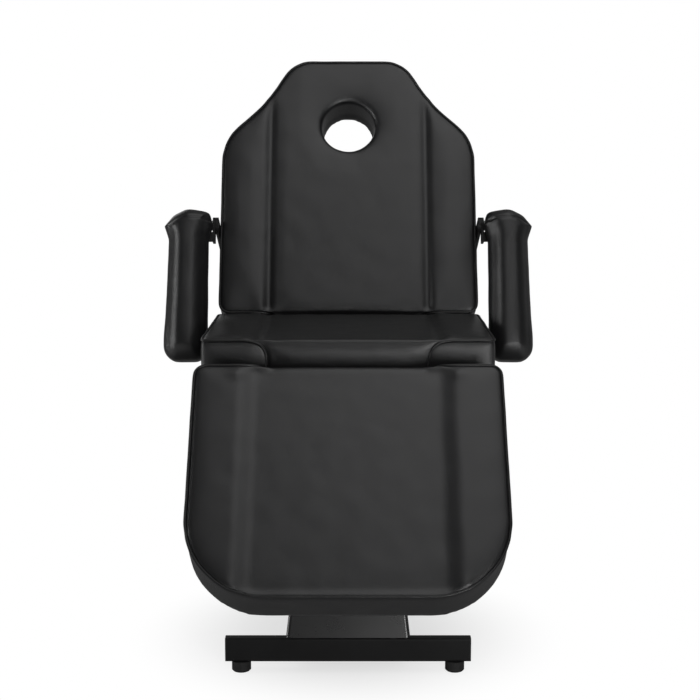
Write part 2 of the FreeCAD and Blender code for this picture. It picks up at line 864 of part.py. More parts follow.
def build_leg_stays():
    """A stay on each side, between the seat rails and the legrest rails."""
    lug = cell("stay_lug")
    eye = cell("hinge_eye")
    pin = cell("stay_pin_radius")
    head = cell("stay_pin_head")
    head_radius = cell("stay_pin_head_radius")
    half_bar = cell("stay_bar_width") / 2
    pivot_frame = Frame(*leg_stay_pivot, ZERO)
    lug_x = rail_inside - lug
    hang = frame_top - leg_stay_pivot[1]
    drop_bar = (eye * 2, hang - wall)
    hanger = eye_plate("leg_hanger", pivot_frame, lug_x, lug, eye, pin, (-eye, ZERO), drop_bar)
    pair("legrest_stay_hangers", hanger.done())
    pivot = Piece("leg_stay_pin", pivot_frame)
    inner = leg_stay_x - channel_half - play
    pivot.rod("x", (inner, ZERO, ZERO), rail_inside - inner, pin)
    pivot.rod("x", (inner - head, ZERO, ZERO), head, head_radius)
    pair("legrest_stay_pivot_pins", pivot.done())

    bracket_x = swing_rail_outside - tube - lug
    y, z = leg_stay_end
    bracket = eye_plate(
        "leg_bracket", leg_frame, bracket_x, lug, eye, pin, (y - eye, z), (eye * 2, -z - wall), leg_stay_end
    )
    pair("legrest_stay_brackets", bracket.done())
    end_pin = Piece("leg_end_pin", leg_frame)
    collar = leg_stay_x + half_bar + play
    clip = leg_stay_x - half_bar - play
    end_pin.rod("x", (clip, y, z), bracket_x + lug - clip, pin)
    end_pin.rod("x", (collar, y, z), bracket_x - collar, head_radius)
    end_pin.rod("x", (clip - head, y, z), head, head_radius)
    pair("legrest_stay_end_pins", end_pin.done())

    channel = stay_channel("leg_channel", leg_stay_frame, leg_stay_x, leg_stay_channel_length)
    pair("legrest_stay_channels", channel)
    bar = stay_bar(
        "leg_bar",
        leg_stay_frame,
        leg_stay_x,
        leg_stay_span,
        cell("leg_stay_bar_length"),
        LEG_NOTCHES,
    )
    pair("legrest_stay_bars", bar)


# the pads
def outline_face(corners):
    """A flat face with a rounded corner at each point: points are x, y and the corner's radius."""
    edges = []
    count = len(corners)
    ends = []
    for index in range(count):
        x, y, radius = corners[index]
        here = Vector(x, y, 0)
        before = Vector(*corners[index - 1][:2], 0) - here
        after = Vector(*corners[(index + 1) % count][:2], 0) - here
        before.normalize()
        after.normalize()
        half_turn = before.getAngle(after) / 2
        step = radius / math.tan(half_turn)
        middle = before + after
        middle.normalize()
        centre = here + middle * (radius / math.sin(half_turn))
        ends.append((here + before * step, centre - middle * radius, here + after * step))
    for index in range(count):
        first, through, last = ends[index]
        edges.append(Part.Arc(first, through, last).toShape())
        start = ends[(index + 1) % count][0]
        edges.append(Part.LineSegment(last, start).toShape())
    return Part.Face(Part.Wire(edges))


def traced_face(start, moves):
    """A face traced by lines and arcs: a move is an end point, or a point on the way and an end point."""
    edges = []
    here = start
    for move in moves:
        end = move[-1]
        if len(move) == 2:
            edges.append(Part.Arc(here, move[0], end).toShape())
        else:
            edges.append(Part.LineSegment(here, end).toShape())
        here = end
    return Part.Face(Part.Wire(edges))


def cushion_section(width, y):
    """Across the pad: drawn-in sides, two crowned bolsters, a valley beside each and a crowned panel."""
    half = width / 2
    swell = cell("side_swell").value
    high = cell("cushion_height").value
    edge = high - cell("pad_crown").value
    valley = cell("channel_half").value
    lip = cell("channel_side").value / 2
    floor = high - cell("channel_depth").value
    panel = high - cell("panel_drop").value
    panel_edge = panel - cell("pad_crown").value
    side = half - swell
    bolster = (side + valley + lip) / 2

    def at(x, z):
        return Vector(x, y, z)

    return traced_face(
        at(-side, 0),
        [
            (at(-half, edge / 2), at(-side, edge)),
            (at(-bolster, high), at(-valley - lip, edge)),
            (at(-valley, floor), at(-valley + lip, panel_edge)),
            (at(0, panel), at(valley - lip, panel_edge)),
            (at(valley, floor), at(valley + lip, edge)),
            (at(bolster, high), at(side, edge)),
            (at(half, edge / 2), at(side, 0)),
            (at(-side, 0),),
        ],
    )


def cushion_side(x, near, far, near_radius, far_radius, high):
    """Along the pad: a rounded waterfall end and a firmer piped end."""
    share = 1 - math.sqrt(0.5)

    def at(y, z):
        return Vector(x, y, z)

    inward = 1 if far > near else -1
    return traced_face(
        at(near, 0),
        [
            (at(near, high - near_radius),),
            (
                at(near + inward * near_radius * share, high - near_radius * share),
                at(near + inward * near_radius, high),
            ),
            (at(far - inward * far_radius, high),),
            (
                at(far - inward * far_radius * share, high - far_radius * share),
                at(far, high - far_radius),
            ),
            (at(far, 0),),
            (at(near, 0),),
        ],
    )


def cushion_solid(outline, width, near, far, far_radius):
    high = cell("cushion_height").value
    waterfall = cell("waterfall_radius").value
    low = min(near, far)
    length = abs(far - near)
    prism = outline.extrude(Vector(0, 0, high))
    across = cushion_section(width, low).extrude(Vector(0, length, 0))
    along = cushion_side(-width / 2, near, far, waterfall, far_radius, high).extrude(Vector(width, 0, 0))
    return prism.common(across).common(along)


def soft(label, shape, frame, lift):
    """A padded piece or its board, set on its seat height in the frame of its section."""
    made = doc.addObject("Part::Feature", label)
    made.Shape = shape.Solids[0]
    made.Label = label
    Frame(*frame.point(ZERO, lift), frame.angle).place(made)
    finished.append(made)
    return made


def back_outline():
    half = cell("back_width").value / 2
    near = back_start.value
    corner = cell("pad_corner").value
    right = [
        (half, near, corner),
        (half, near + cell("shoulder_rise").value, cell("shoulder_radius").value),
        (cell("neck_half").value, near + cell("neck_rise").value, cell("neck_radius").value),
        (cell("head_half").value, near + cell("back_length").value, cell("head_radius").value),
    ]
    left = [(-x, y, radius) for x, y, radius in reversed(right)]
    return outline_face(right + left)


def leg_outline(near, far):
    half = cell("leg_width").value / 2
    corner = cell("pad_corner").value
    toe = cell("leg_toe_corner").value
    return outline_face(
        [(half, near, corner), (-half, near, corner), (-half, far, toe), (half, far, toe)]
    )


def seat_outline():
    half = cell("seat_width").value / 2
    deep = seat_half_depth.value
    corner = cell("seat_corner").value
    return outline_face(
        [(half, -deep, corner), (half, deep, corner), (-half, deep, corner), (-half, -deep, corner)]
    )


def board_solid(outline):
    return outline.makeOffset2D(-cell("board_inset").value).extrude(
        Vector(0, 0, cell("board_thickness").value)
    )


def build_pads():
    """The three cushions, each on a plywood board."""
    board = cell("board_thickness")
    piped = cell("piped_radius").value
    waterfall = cell("waterfall_radius").value
    seat_frame = Frame(shift, frame_top, ZERO)
    seat = seat_outline()
    deep = seat_half_depth.value
    soft(
        "seat_cushion",
        cushion_solid(seat, cell("seat_width").value, -deep, deep, waterfall),
        seat_frame,
        board,
    )
    soft("seat_board", board_solid(seat), seat_frame, ZERO)

    # the legrest's cushion leads over its hinge, and its board stays clear of the hinge eyes
    leg_near = cell("leg_pad_lead").value - leg_start.value
    leg_far = leg_near - cell("leg_length").value
    leg = leg_outline(leg_near, leg_far)
    soft(
        "legrest_cushion",
        cushion_solid(leg, cell("leg_width").value, leg_near, leg_far, piped),
        leg_frame,
        board,
    )
    soft("legrest_board", board_solid(leg_outline(-leg_start.value, leg_far)), leg_frame, ZERO)

    back = back_outline()
    back_near = back_start.value
    back_far = back_near + cell("back_length").value
    hole_centre = Vector(0, back_near + cell("face_hole_rise").value, -overrun.value)
    hole = Part.makeCylinder(
        cell("face_hole_radius").value,
        cell("cushion_height").value + overrun.value * 2,
        hole_centre,
    )
    cushion = cushion_solid(back, cell("back_width").value, back_near, back_far, piped)
    soft("backrest_cushion", cushion.cut(hole), back_frame, back_under + board)
    soft("backrest_board", board_solid(back).cut(hole), back_frame, back_under)


arm_pivot = back_frame.point(cell("arm_pivot_along"), cell("arm_pivot_rise"))
arm_frame = Frame(*arm_pivot, cell("back_angle") + cell("arm_lean"))
strap_inside = cell("back_width") / 2 + cell("arm_strap_gap")
arm_plate_inside = strap_inside + cell("arm_strap") + cell("hinge_play")
arm_inside = larger(
    cell("seat_width") / 2 + cell("arm_seat_gap"),
    arm_plate_inside + cell("arm_strap") + cell("arm_plate_gap"),
)


def arm_section(y):
    """Across an armrest: drawn-in sides and a crowned top."""
    inside = arm_inside.value
    outside = inside + cell("arm_width").value
    swell = cell("side_swell").value
    high = cell("arm_height").value - cell("arm_board").value
    edge = high - cell("arm_crown").value

    def at(x, z):
        return Vector(x, y, z)

    return traced_face(
        at(inside + swell, 0),
        [
            (at(inside, edge / 2), at(inside + swell, edge)),
            (at((inside + outside) / 2, high), at(outside - swell, edge)),
            (at(outside, edge / 2), at(outside - swell, 0)),
            (at(inside + swell, 0),),
        ],
    )


def build_arms():
    """Each armrest: a pad on a board, carried by an angle that swings on a stud of the backrest's strap."""
    inside = arm_inside.value
    width = cell("arm_width").value
    heel = cell("arm_heel").value
    tip = heel - cell("arm_length").value
    high = cell("arm_height").value - cell("arm_board").value
    outline = outline_face(
        [
            (inside, tip, cell("arm_tip_radius").value),
            (inside + width, tip, cell("arm_tip_radius").value),
            (inside + width, heel, cell("arm_heel_radius").value),
            (inside, heel, cell("arm_heel_radius").value),
        ]
    )
    edge = cell("arm_edge_radius").value
    prism = outline.extrude(Vector(0, 0, high))
    across = arm_section(tip).extrude(Vector(0, heel - tip, 0))
    along = cushion_side(inside, tip, heel, edge, edge, high).extrude(Vector(width, 0, 0))
    drop = cell("arm_drop")
    pad = soft("right_arm_pad", prism.common(across).common(along), arm_frame, drop + cell("arm_board"))
    twin_of(pad, "left_arm_pad")
    board_shape = outline.makeOffset2D(-cell("arm_board_inset").value)
    board = soft(
        "right_arm_board",
        board_shape.extrude(Vector(0, 0, cell("arm_board").value)),
        arm_frame,
        drop,
    )
    twin_of(board, "left_arm_board")

    strap = cell("arm_strap")
    eye = cell("arm_strap_width") / 2
    stud = cell("arm_stud_radius")
    web = cell("arm_web_length")
    lap_end = arm_inside + cell("arm_board_inset") + cell("arm_plate_lap")
    angle = eye_plate(
        "right_arm_hinge_plate",
        arm_frame,
        arm_plate_inside,
        strap,
        eye,
        stud + play,
        (-web, -eye / 2),
        (web, drop + eye / 2),
    )
    angle.block(
        (arm_plate_inside, -web, drop - strap),
        (lap_end - arm_plate_inside, web - eye, strap),
    )
    tail = cell("arm_plate_length") - web
    tail_inside = lap_end - cell("arm_plate_lap")
    angle.block((tail_inside, -web - tail, drop - strap), (cell("arm_plate_lap"), tail, strap))
    twin_of(angle.done(), "left_arm_hinge_plate")

    along_y = cell("arm_pivot_along")
    rise = cell("arm_pivot_rise")
    rail_inner = swing_rail_outside - tube
    bracket = eye_plate(
        "right_arm_bracket",
        back_frame,
        strap_inside,
        strap,
        eye,
        stud,
        (along_y - eye, back_rail_under - strap),
        (eye * 2, rise - back_rail_under + strap),
        (along_y, rise),
    )
    bracket.block(
        (rail_inner, along_y - eye, back_rail_under - strap),
        (strap_inside - rail_inner + strap, eye * 2, strap),
    )
    twin_of(bracket.done(), "left_arm_bracket")

    washer_x = arm_plate_inside + strap + play
    nut_x = washer_x + cell("arm_washer")
    pivot = Piece("arm_stud", back_frame)
    pivot.rod("x", (strap_inside, along_y, rise), nut_x - strap_inside, stud)
    pivot.rod("x", (washer_x, along_y, rise), cell("arm_washer"), cell("arm_washer_radius"))
    pivot.hexagon("x", (nut_x, along_y, rise), cell("arm_nut"), cell("arm_nut_radius"))
    pair("arm_pivot_bolts", pivot.done())


build_feet()
build_base()
build_pedestal()
build_seat()
build_backrest()
build_legrest()
build_back_stay()
build_leg_stays()
build_pads()
build_arms()
doc.recompute()

for item in doc.Objects:
    if "Invalid" in item.State or "Error" in item.State:
        raise RuntimeError(f"{item.Label} did not build: {item.State}")
for item in finished:
    if item.Shape.isNull() or not item.Shape.isValid():
        raise RuntimeError(f"{item.Label} has no valid shape")
for item in finished:
    item.Shape.exportStep(f"parts/{item.Label}.step")
    box = item.Shape.BoundBox
    print(
        f"{item.Label}: {len(item.Shape.Solids)} solids, {item.Shape.Volume / 1000:.1f} cm3,"
        f" x {box.XMin:.1f} {box.XMax:.1f} y {box.YMin:.1f} {box.YMax:.1f} z {box.ZMin:.1f} {box.ZMax:.1f}"
    )
print(
    f"backrest pivot {back_frame.y.value:.2f} {back_frame.z.value:.2f},"
    f" stay pivot {back_stay_pivot[0].value:.3f} {back_stay_pivot[1].value:.3f},"
    f" heading {back_stay_frame.angle.value:.4f},"
    f" span {back_stay_span.value:.3f}, arm {back_stay_arm.value:.3f}"
)
print(
    f"legrest pivot {leg_frame.y.value:.2f} {leg_frame.z.value:.2f},"
    f" stay pivot {leg_stay_pivot[0].value:.3f} {leg_stay_pivot[1].value:.3f},"
    f" heading {leg_stay_frame.angle.value:.4f},"
    f" span {leg_stay_span.value:.3f}, arm {leg_stay_arm.value:.3f}"
)
print(f"arm pivot {arm_pivot[0].value:.3f} {arm_pivot[1].value:.3f}")
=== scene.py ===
"""Looks of the black beauty chair: piped vinyl pads, coated steel and the studio round them."""
import json
import math
from collections import namedtuple
from functools import partial

import bpy
import numpy as np
from mathutils import Matrix, Vector, noise
from mathutils.bvhtree import BVHTree
from mathutils.kdtree import KDTree


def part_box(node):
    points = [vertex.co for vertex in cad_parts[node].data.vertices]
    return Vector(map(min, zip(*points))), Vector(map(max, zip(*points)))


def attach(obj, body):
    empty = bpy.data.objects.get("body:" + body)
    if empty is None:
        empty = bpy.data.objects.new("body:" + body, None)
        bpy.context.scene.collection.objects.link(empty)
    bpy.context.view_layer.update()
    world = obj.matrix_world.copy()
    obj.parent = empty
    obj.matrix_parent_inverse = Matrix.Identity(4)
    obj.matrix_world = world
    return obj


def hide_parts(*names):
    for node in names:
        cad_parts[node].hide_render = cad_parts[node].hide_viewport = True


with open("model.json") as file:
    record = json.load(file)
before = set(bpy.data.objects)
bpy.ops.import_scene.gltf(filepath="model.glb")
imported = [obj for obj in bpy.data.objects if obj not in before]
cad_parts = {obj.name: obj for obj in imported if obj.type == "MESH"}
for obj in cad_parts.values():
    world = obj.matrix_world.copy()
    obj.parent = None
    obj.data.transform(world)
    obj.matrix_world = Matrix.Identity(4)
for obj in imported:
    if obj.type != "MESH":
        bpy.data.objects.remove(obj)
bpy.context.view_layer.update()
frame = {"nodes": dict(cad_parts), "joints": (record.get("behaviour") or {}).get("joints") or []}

bl_info = {
    "name": "Beauty Chair Upholstery",
    "version": (1, 0, 0),
    "blender": (4, 5, 0),
    "location": "View3D > Sidebar > Beauty Chair",
    "description": "Dresses the packed chair in piped vinyl pads and coated steel and lights it",
    "category": "Object",
}

JOINTS = {joint["name"]: joint for joint in frame["joints"]}
SEAT_LOW, SEAT_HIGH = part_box("seat_board")
PHOTO_PIXELS = 700
WHITE = (1, 1, 1)
BLACK = (0, 0, 0)


def number(name, description, default, **kind):
    return bpy.props.FloatProperty(name=name, description=description, default=default, **kind)


length = partial(number, unit="LENGTH")
power = partial(number, unit="POWER")


def angle(name, description, degrees):
    return number(name, description, math.radians(degrees), unit="ROTATION")


def colour(name, description, default):
    return bpy.props.FloatVectorProperty(
        name=name, description=description, default=default, size=3, subtype="COLOR"
    )


class ChairPads(bpy.types.PropertyGroup):
    """Sizes of the upholstery."""

    back_half: length("Backrest half width", "Middle to side of the backrest pad", 0.303)
    back_start: length("Backrest start", "Backrest hinge to the lower end of its pad", 0.015)
    back_length: length("Backrest length", "Length of the backrest pad", 0.650)
    back_under: length("Backrest underside", "Backrest hinge to the underside of its board", -0.077)
    hole_rise: length("Face hole place", "Lower end of the backrest pad to the hole", 0.478)
    hole_radius: length("Face hole radius", "Radius of the face hole through the board", 0.065)
    seat_half: length("Seat half width", "Middle to side of the seat pad", 0.305)
    seat_half_depth: length("Seat half depth", "Middle to front of the seat pad", 0.210)
    leg_half: length("Legrest half width", "Middle to side of the legrest pad", 0.308)
    leg_length: length("Legrest length", "Length of the legrest pad", 0.498)
    edge_height: length("Edge height", "Underside of a board to the piped edge", 0.0965)
    crown: length("Crown", "Rise of the foam from the piped edge", 0.0065)
    inset: length("Swell allowance", "How much smaller a pad is cut before it swells", 0.0012)
    piping_radius: length("Piping radius", "Radius of the piping", 0.0029)
    arm_inside: length("Armrest inside", "Middle of the chair to an armrest's inner side", 0.326)
    arm_outside: length("Armrest outside", "Middle of the chair to an armrest's outer side", 0.420)
    arm_heel: length("Armrest heel", "Armrest pivot to the upper end of its pad", 0.026)
    arm_tip: length("Armrest tip", "Armrest pivot to the lower end of its pad", -0.330)
    arm_low: length("Armrest underside", "Armrest pivot to the underside of its board", 0.016)
    arm_high: length("Armrest top", "Armrest pivot to the top of its pad", 0.086)
    arm_tilt: angle("Armrest tilt", "How steeply the armrests hang", 72.0)
    voxel: length("Foam grid", "Grid that the pads are swelled on", 0.006)
    arm_voxel: length("Armrest grid", "Grid that the armrests are swelled on", 0.0045)
    pressure: number("Foam pressure", "Pressure that swells a pad", 2.5)
    swell_cap: length("Swell limit", "Farthest that a pad may swell", 0.0022)


class ChairFinishes(bpy.types.PropertyGroup):
    """Colours of the finishes."""

    vinyl: colour("Vinyl", "Colour of the upholstery", (0.0052, 0.0052, 0.0056))
    piping: colour("Piping", "Colour of the piping", (0.0030, 0.0030, 0.0032))
    lining: colour("Dust cloth", "Colour of the cloth under the pads", (0.024, 0.024, 0.025))
    steel: colour("Coated steel", "Colour of the coated steel", (0.0090, 0.0090, 0.0092))
    zinc: colour("Zinc", "Colour of the zinc-plated fittings", (0.55, 0.56, 0.57))
    rubber: colour("Rubber", "Colour of the feet", (0.0070, 0.0070, 0.0070))
    plastic: colour("Plastic", "Colour of the end caps", (0.0080, 0.0080, 0.0080))
    plywood: colour("Plywood", "Colour of the boards", (0.030, 0.022, 0.016))


class ChairStudio(bpy.types.PropertyGroup):
    """Camera and light."""

    camera_x: length("Camera side place", "Camera's place across the chair", 0.004)
    camera_y: length("Camera place", "Camera's place along the chair", -3.195)
    camera_z: length("Camera height", "Camera's height above the floor", 1.124)
    camera_tilt: angle("Camera tilt", "How far the camera looks down", 8.64)
    focal_pixels: number("Focal length", "Focal length in pixels of the picture", 1483.0)
    overhead: power("Overhead light", "Power of the large light above the chair", 25.0)
    front: power("Front light", "Power of the softer light above the camera", 11.0)
    key: power("Key light", "Power of the light at the front right", 42.0)
    strip: power("Strip light", "Power of the narrow light at the left", 20.0)
    rear: power("Rear light", "Power of the light behind the chair", 8.0)
    fill: number("Room light", "Strength of the room's own light", 0.30)
    gloom: number("Room reflection", "Brightness of the room in reflections", 0.05)


def smooth_step(low, high, value):
    share = np.clip((value - low) / (high - low), 0, 1)
    return share * share * (3 - 2 * share)


def hump(value, middle, width, height=1.0):
    return np.exp(-(((value - middle) / width) ** 2)) * height


def deselect():
    if bpy.context.object and bpy.context.object.mode != "OBJECT":
        bpy.ops.object.mode_set(mode="OBJECT")
    bpy.ops.object.select_all(action="DESELECT")


def take(*pieces):
    """Select these pieces alone; the first one is active."""
    deselect()
    for piece in pieces:
        piece.select_set(True)
    bpy.context.view_layer.objects.active = pieces[0]


def finish_with(piece, kind, **settings):
    """Add a modifier with its settings and apply it."""
    take(piece)
    modifier = piece.modifiers.new(kind.title(), kind)
    for name, value in settings.items():
        setattr(modifier, name, value)
    bpy.ops.object.modifier_apply(modifier=modifier.name)


def points_of(mesh, value="co"):
    """A value of each point of a mesh, which is its place if no other is asked for."""
    flat = np.empty(len(mesh.vertices) * 3)
    mesh.vertices.foreach_get(value, flat)
    return flat.reshape(-1, 3)


def put_points(mesh, points):
    mesh.vertices.foreach_set("co", points.ravel())
    mesh.update()


def joined(name, pieces):
    """Several meshes made one piece."""
    take(*pieces)
    if len(pieces) > 1:
        bpy.ops.object.join()
    pieces[0].name = name
    return pieces[0]


def copied(piece, name, matrix):
    """A copy of a piece with its own mesh, moved by a matrix."""
    twin = piece.copy()
    twin.data = piece.data.copy()
    twin.name = name
    bpy.context.scene.collection.objects.link(twin)
    twin.data.transform(matrix)
    if matrix.determinant() < 0:
        twin.data.flip_normals()
    return twin


class Value:
    """A socket on which arithmetic adds Math nodes; a | b is the larger of two values."""

    def __init__(self, nodes, socket):
        self.nodes = nodes
        self.socket = socket

    def math(self, operation, first, second):
        return self.nodes.node("ShaderNodeMath", {"operation": operation}, {0: first, 1: second})

    def __add__(self, other):
        return self.math("ADD", self, other)

    __radd__ = __add__

    def __sub__(self, other):
        return self.math("SUBTRACT", self, other)

    def __rsub__(self, other):
        return self.math("SUBTRACT", other, self)

    def __mul__(self, other):
        return self.math("MULTIPLY", self, other)

    __rmul__ = __mul__

    def __or__(self, other):
        return self.math("MAXIMUM", self, other)

    __ror__ = __or__


class Nodes:
    """A tree to which nodes are added one by one."""

    def __init__(self, tree):
        self.tree = tree

    def node(self, kind, settings=None, inputs=None, output=0):
        made = self.tree.nodes.new(kind)
        for name, value in (settings or {}).items():
            setattr(made, name, value)
        for name, value in (inputs or {}).items():
            self.feed(made.inputs[name], value)
        return Value(self, made.outputs[output])

    def feed(self, socket, value):
        if isinstance(value, Value):
            self.tree.links.new(value.socket, socket)
        else:
            socket.default_value = value

    def between(self, value, low, high, start=0.0, end=1.0):
        """A value's way from low to high, eased, as a number from start to end."""
        inputs = {"Value": value, 1: low, 2: high, 3: start, 4: end}
        return self.node("ShaderNodeMapRange", {"interpolation_type": "SMOOTHSTEP"}, inputs)

    def shades(self, factor, dark, light):
        inputs = {0: factor, 6: (*dark, 1), 7: (*light, 1)}
        return self.node("ShaderNodeMix", {"data_type": "RGBA"}, inputs, 2)

    def ray(self, kind):
        return self.node("ShaderNodeLightPath", output=f"Is {kind} Ray")

    def along(self, axis, vector):
        return self.node("ShaderNodeSeparateXYZ", None, {0: vector}, axis)


class Finish(Nodes):
    """A material on one Principled shader."""

    def __init__(self, name, **constants):
        self.material = bpy.data.materials.new(name)
        self.material.use_nodes = True
        super().__init__(self.material.node_tree)
        self.shader = self.tree.nodes["Principled BSDF"]
        for socket, value in constants.items():
            self.shader.inputs[socket.replace("_", " ")].default_value = value

    def surface(self, name, value):
        self.feed(self.shader.inputs[name], value)

    def place(self):
        return self.node("ShaderNodeTexCoord", output="Object")

    def clouds(self, scale, detail=3.0, roughness=0.5):
        inputs = {"Vector": self.place(), "Scale": scale, "Detail": detail, "Roughness": roughness}
        return self.node("ShaderNodeTexNoise", None, inputs, "Fac")

    def tint(self, factor, shade, dark, light):
        """Vary the base colour between a darker and a lighter tone of one shade."""
        tones = [tuple(channel * share for channel in shade) for share in (dark, light)]
        self.surface("Base Color", self.shades(factor, *tones))

    def bump(self, height, strength, distance, below=None):
        inputs = {"Height": height, "Strength": strength, "Distance": distance}
        if below is not None:
            inputs["Normal"] = below
        return self.node("ShaderNodeBump", None, inputs, "Normal")

    def done(self, roughness, normal):
        """Feed the last inputs of the shader."""
        self.surface("Roughness", roughness)
        self.surface("Normal", normal)
        return self.material


def vinyl_finish(name, shade, roughness, grain, sheen):
    """Black upholstery vinyl: pebbled grain, faint handling marks and a soft sheen."""
    finish = Finish(name, IOR=1.5, Specular_IOR_Level=sheen)
    inputs = {"Vector": finish.place(), "Scale": 640.0}
    feature = {"feature": "DISTANCE_TO_EDGE"}
    cells = finish.node("ShaderNodeTexVoronoi", feature, inputs, "Distance")
    pebble = finish.between(cells, low=0.0, high=0.28)
    broad = finish.clouds(scale=9.0, detail=2.0)
    patches = finish.clouds(scale=34.0, detail=4.0, roughness=0.6)
    marks = finish.clouds(scale=160.0, detail=3.0, roughness=0.65)
    finish.tint(broad * 0.6 + patches * 0.4, shade, dark=0.78, light=1.3)
    uneven = patches * 0.06 + marks * 0.04 + (1 - pebble) * 0.05
    soft = finish.bump(broad, strength=0.2, distance=0.004)
    worn = finish.bump(marks, strength=0.1, distance=0.0006, below=soft)
    skin = finish.bump(pebble, grain, distance=0.0002, below=worn)
    return finish.done(uneven + (roughness - 0.07), skin)


def coated_steel_finish(name, shade, roughness, sheen):
    """Powder coat: fine orange peel and a slightly uneven gloss."""
    finish = Finish(name, IOR=1.5, Specular_IOR_Level=sheen)
    peel = finish.clouds(scale=620.0, detail=2.0)
    broad = finish.clouds(scale=12.0, detail=3.0)
    scuffs = finish.clouds(scale=70.0, detail=5.0, roughness=0.7)
    finish.tint(broad, shade, dark=0.8, light=1.3)
    skin = finish.bump(peel, strength=0.02, distance=0.0003)
    return finish.done(broad * 0.05 + scuffs * 0.03 + (roughness - 0.04), skin)


def zinc_finish(name, shade):
    """Bright zinc plate with fine drawing marks."""
    finish = Finish(name, Metallic=1.0)
    broad = finish.clouds(scale=45.0, detail=4.0, roughness=0.6)
    fine = finish.clouds(scale=900.0, detail=2.0)
    finish.tint(broad, shade, dark=0.8, light=1.1)
    skin = finish.bump(fine, strength=0.1, distance=0.0002)
    return finish.done(0.28 + broad * 0.18, skin)


def rubber_finish(name, shade):
    """Matt moulded rubber with a dusty bloom."""
    finish = Finish(name, IOR=1.5, Specular_IOR_Level=0.4)
    broad = finish.clouds(scale=60.0, detail=4.0, roughness=0.6)
    fine = finish.clouds(scale=1400.0, detail=2.0)
    finish.tint(broad, shade, dark=1.0, light=2.2)
    skin = finish.bump(fine, strength=0.25, distance=0.0003)
    return finish.done(0.6 + broad * 0.2, skin)


def plastic_finish(name, shade):
    """Fine-textured black moulding for the end caps."""
    finish = Finish(name, IOR=1.46, Specular_IOR_Level=0.5)
    spark = finish.clouds(scale=1100.0, detail=2.0)
    broad = finish.clouds(scale=50.0, detail=2.0)
    finish.tint(broad, shade, dark=0.9, light=1.3)
    skin = finish.bump(spark, strength=0.3, distance=0.0003)
    return finish.done(0.42 + spark * 0.12, skin)


def plywood_finish(name, shade):
    """Dark-stained plywood: streaks along the boards and a dry surface."""
    finish = Finish(name, IOR=1.5, Specular_IOR_Level=0.3)
    inputs = {"Vector": finish.place(), "Scale": (60.0, 6.0, 90.0)}
    stretched = finish.node("ShaderNodeMapping", None, inputs)
    inputs = {"Vector": stretched, "Scale": 1.0, "Detail": 6.0}
    streaks = finish.node("ShaderNodeTexNoise", None, inputs, "Fac")
    finish.tint(streaks, shade, dark=0.6, light=1.25)
    skin = finish.bump(streaks, strength=0.2, distance=0.0005)
    return finish.done(0.55 + streaks * 0.2, skin)


def lining_finish(name, shade):
    """Spun dust cloth under the pads, with its rows of small bonding dents."""
    finish = Finish(name, IOR=1.4, Specular_IOR_Level=0.2)
    inputs = {"Vector": finish.place(), "Scale": 480.0, "Randomness": 0.25}
    dents = finish.node("ShaderNodeTexVoronoi", {"feature": "F1"}, inputs, "Distance")
    fibres = finish.clouds(scale=1500.0, detail=3.0, roughness=0.7)
    finish.tint(fibres, shade, dark=0.7, light=1.9)
    skin = finish.bump(dents + fibres * 0.6, strength=0.4, distance=0.0006)
    return finish.done(0.82 + fibres * 0.12, skin)


# each finish: what makes it, the setting with its colour, and its other values
FINISHES = {
    "black_vinyl": (vinyl_finish, "vinyl", {"roughness": 0.33, "grain": 0.45, "sheen": 0.5}),
    "piping_vinyl": (vinyl_finish, "piping", {"roughness": 0.34, "grain": 0.25, "sheen": 0.35}),
    "dust_cloth": (lining_finish, "lining", {}),
    "matt_black_coat": (coated_steel_finish, "steel", {"roughness": 0.46, "sheen": 0.15}),
    "satin_black_coat": (coated_steel_finish, "steel", {"roughness": 0.28, "sheen": 0.95}),
    "zinc_plate": (zinc_finish, "zinc", {}),
    "moulded_rubber": (rubber_finish, "rubber", {}),
    "cap_plastic": (plastic_finish, "plastic", {}),
    "birch_plywood": (plywood_finish, "plywood", {}),
}


def finish_named(name):
    """A finish, made when it is first asked for."""
    made = bpy.data.materials.get(name)
    if made:
        return made
    make, setting, values = FINISHES[name]
    return make(name, getattr(bpy.context.scene.chair_finishes, setting), **values)


def rounded_outline(corners, step):
    """Points round a closed outline; a corner is x, y and its radius."""
    arcs = []
    for before, corner, after in zip(corners[-1:] + corners, corners, corners[1:] + corners):
        here, radius = Vector(corner[:2]), corner[2]
        back = (Vector(before[:2]) - here).normalized()
        ahead = (Vector(after[:2]) - here).normalized()
        half_turn = back.angle(ahead) / 2
        reach = radius / math.tan(half_turn)
        centre = here + (back + ahead).normalized() * (radius / math.sin(half_turn))
        start = here + back * reach - centre
        sweep = start.angle_signed(here + ahead * reach - centre)
        count = max(3, round(radius * abs(sweep) / step))
        turns = [Matrix.Rotation(-sweep * turn / count, 2) for turn in range(count + 1)]
        arcs.append([centre + turn @ start for turn in turns])
    points = []
    for arc, following in zip(arcs, arcs[1:] + arcs):
        first, last = arc[-1], following[0]
        runs = max(1, round((last - first).length / step))
        points += arc + [first.lerp(last, run / runs) for run in range(1, runs)]
    return np.array([(*point, 0.0) for point in points])


def inward_of(outline):
    """The way in from each point of a closed outline that runs counterclockwise."""
    ahead = np.roll(outline, -1, axis=0) - np.roll(outline, 1, axis=0)
    inward = np.column_stack([-ahead[:, 1], ahead[:, 0], 0 * ahead[:, 0]])
    return inward / np.linalg.norm(inward, axis=1, keepdims=True)


Valley = namedtuple("Valley", "middle half depth")
Groove = namedtuple("Groove", "width depth")
Hole = namedtuple("Hole", "y radius")


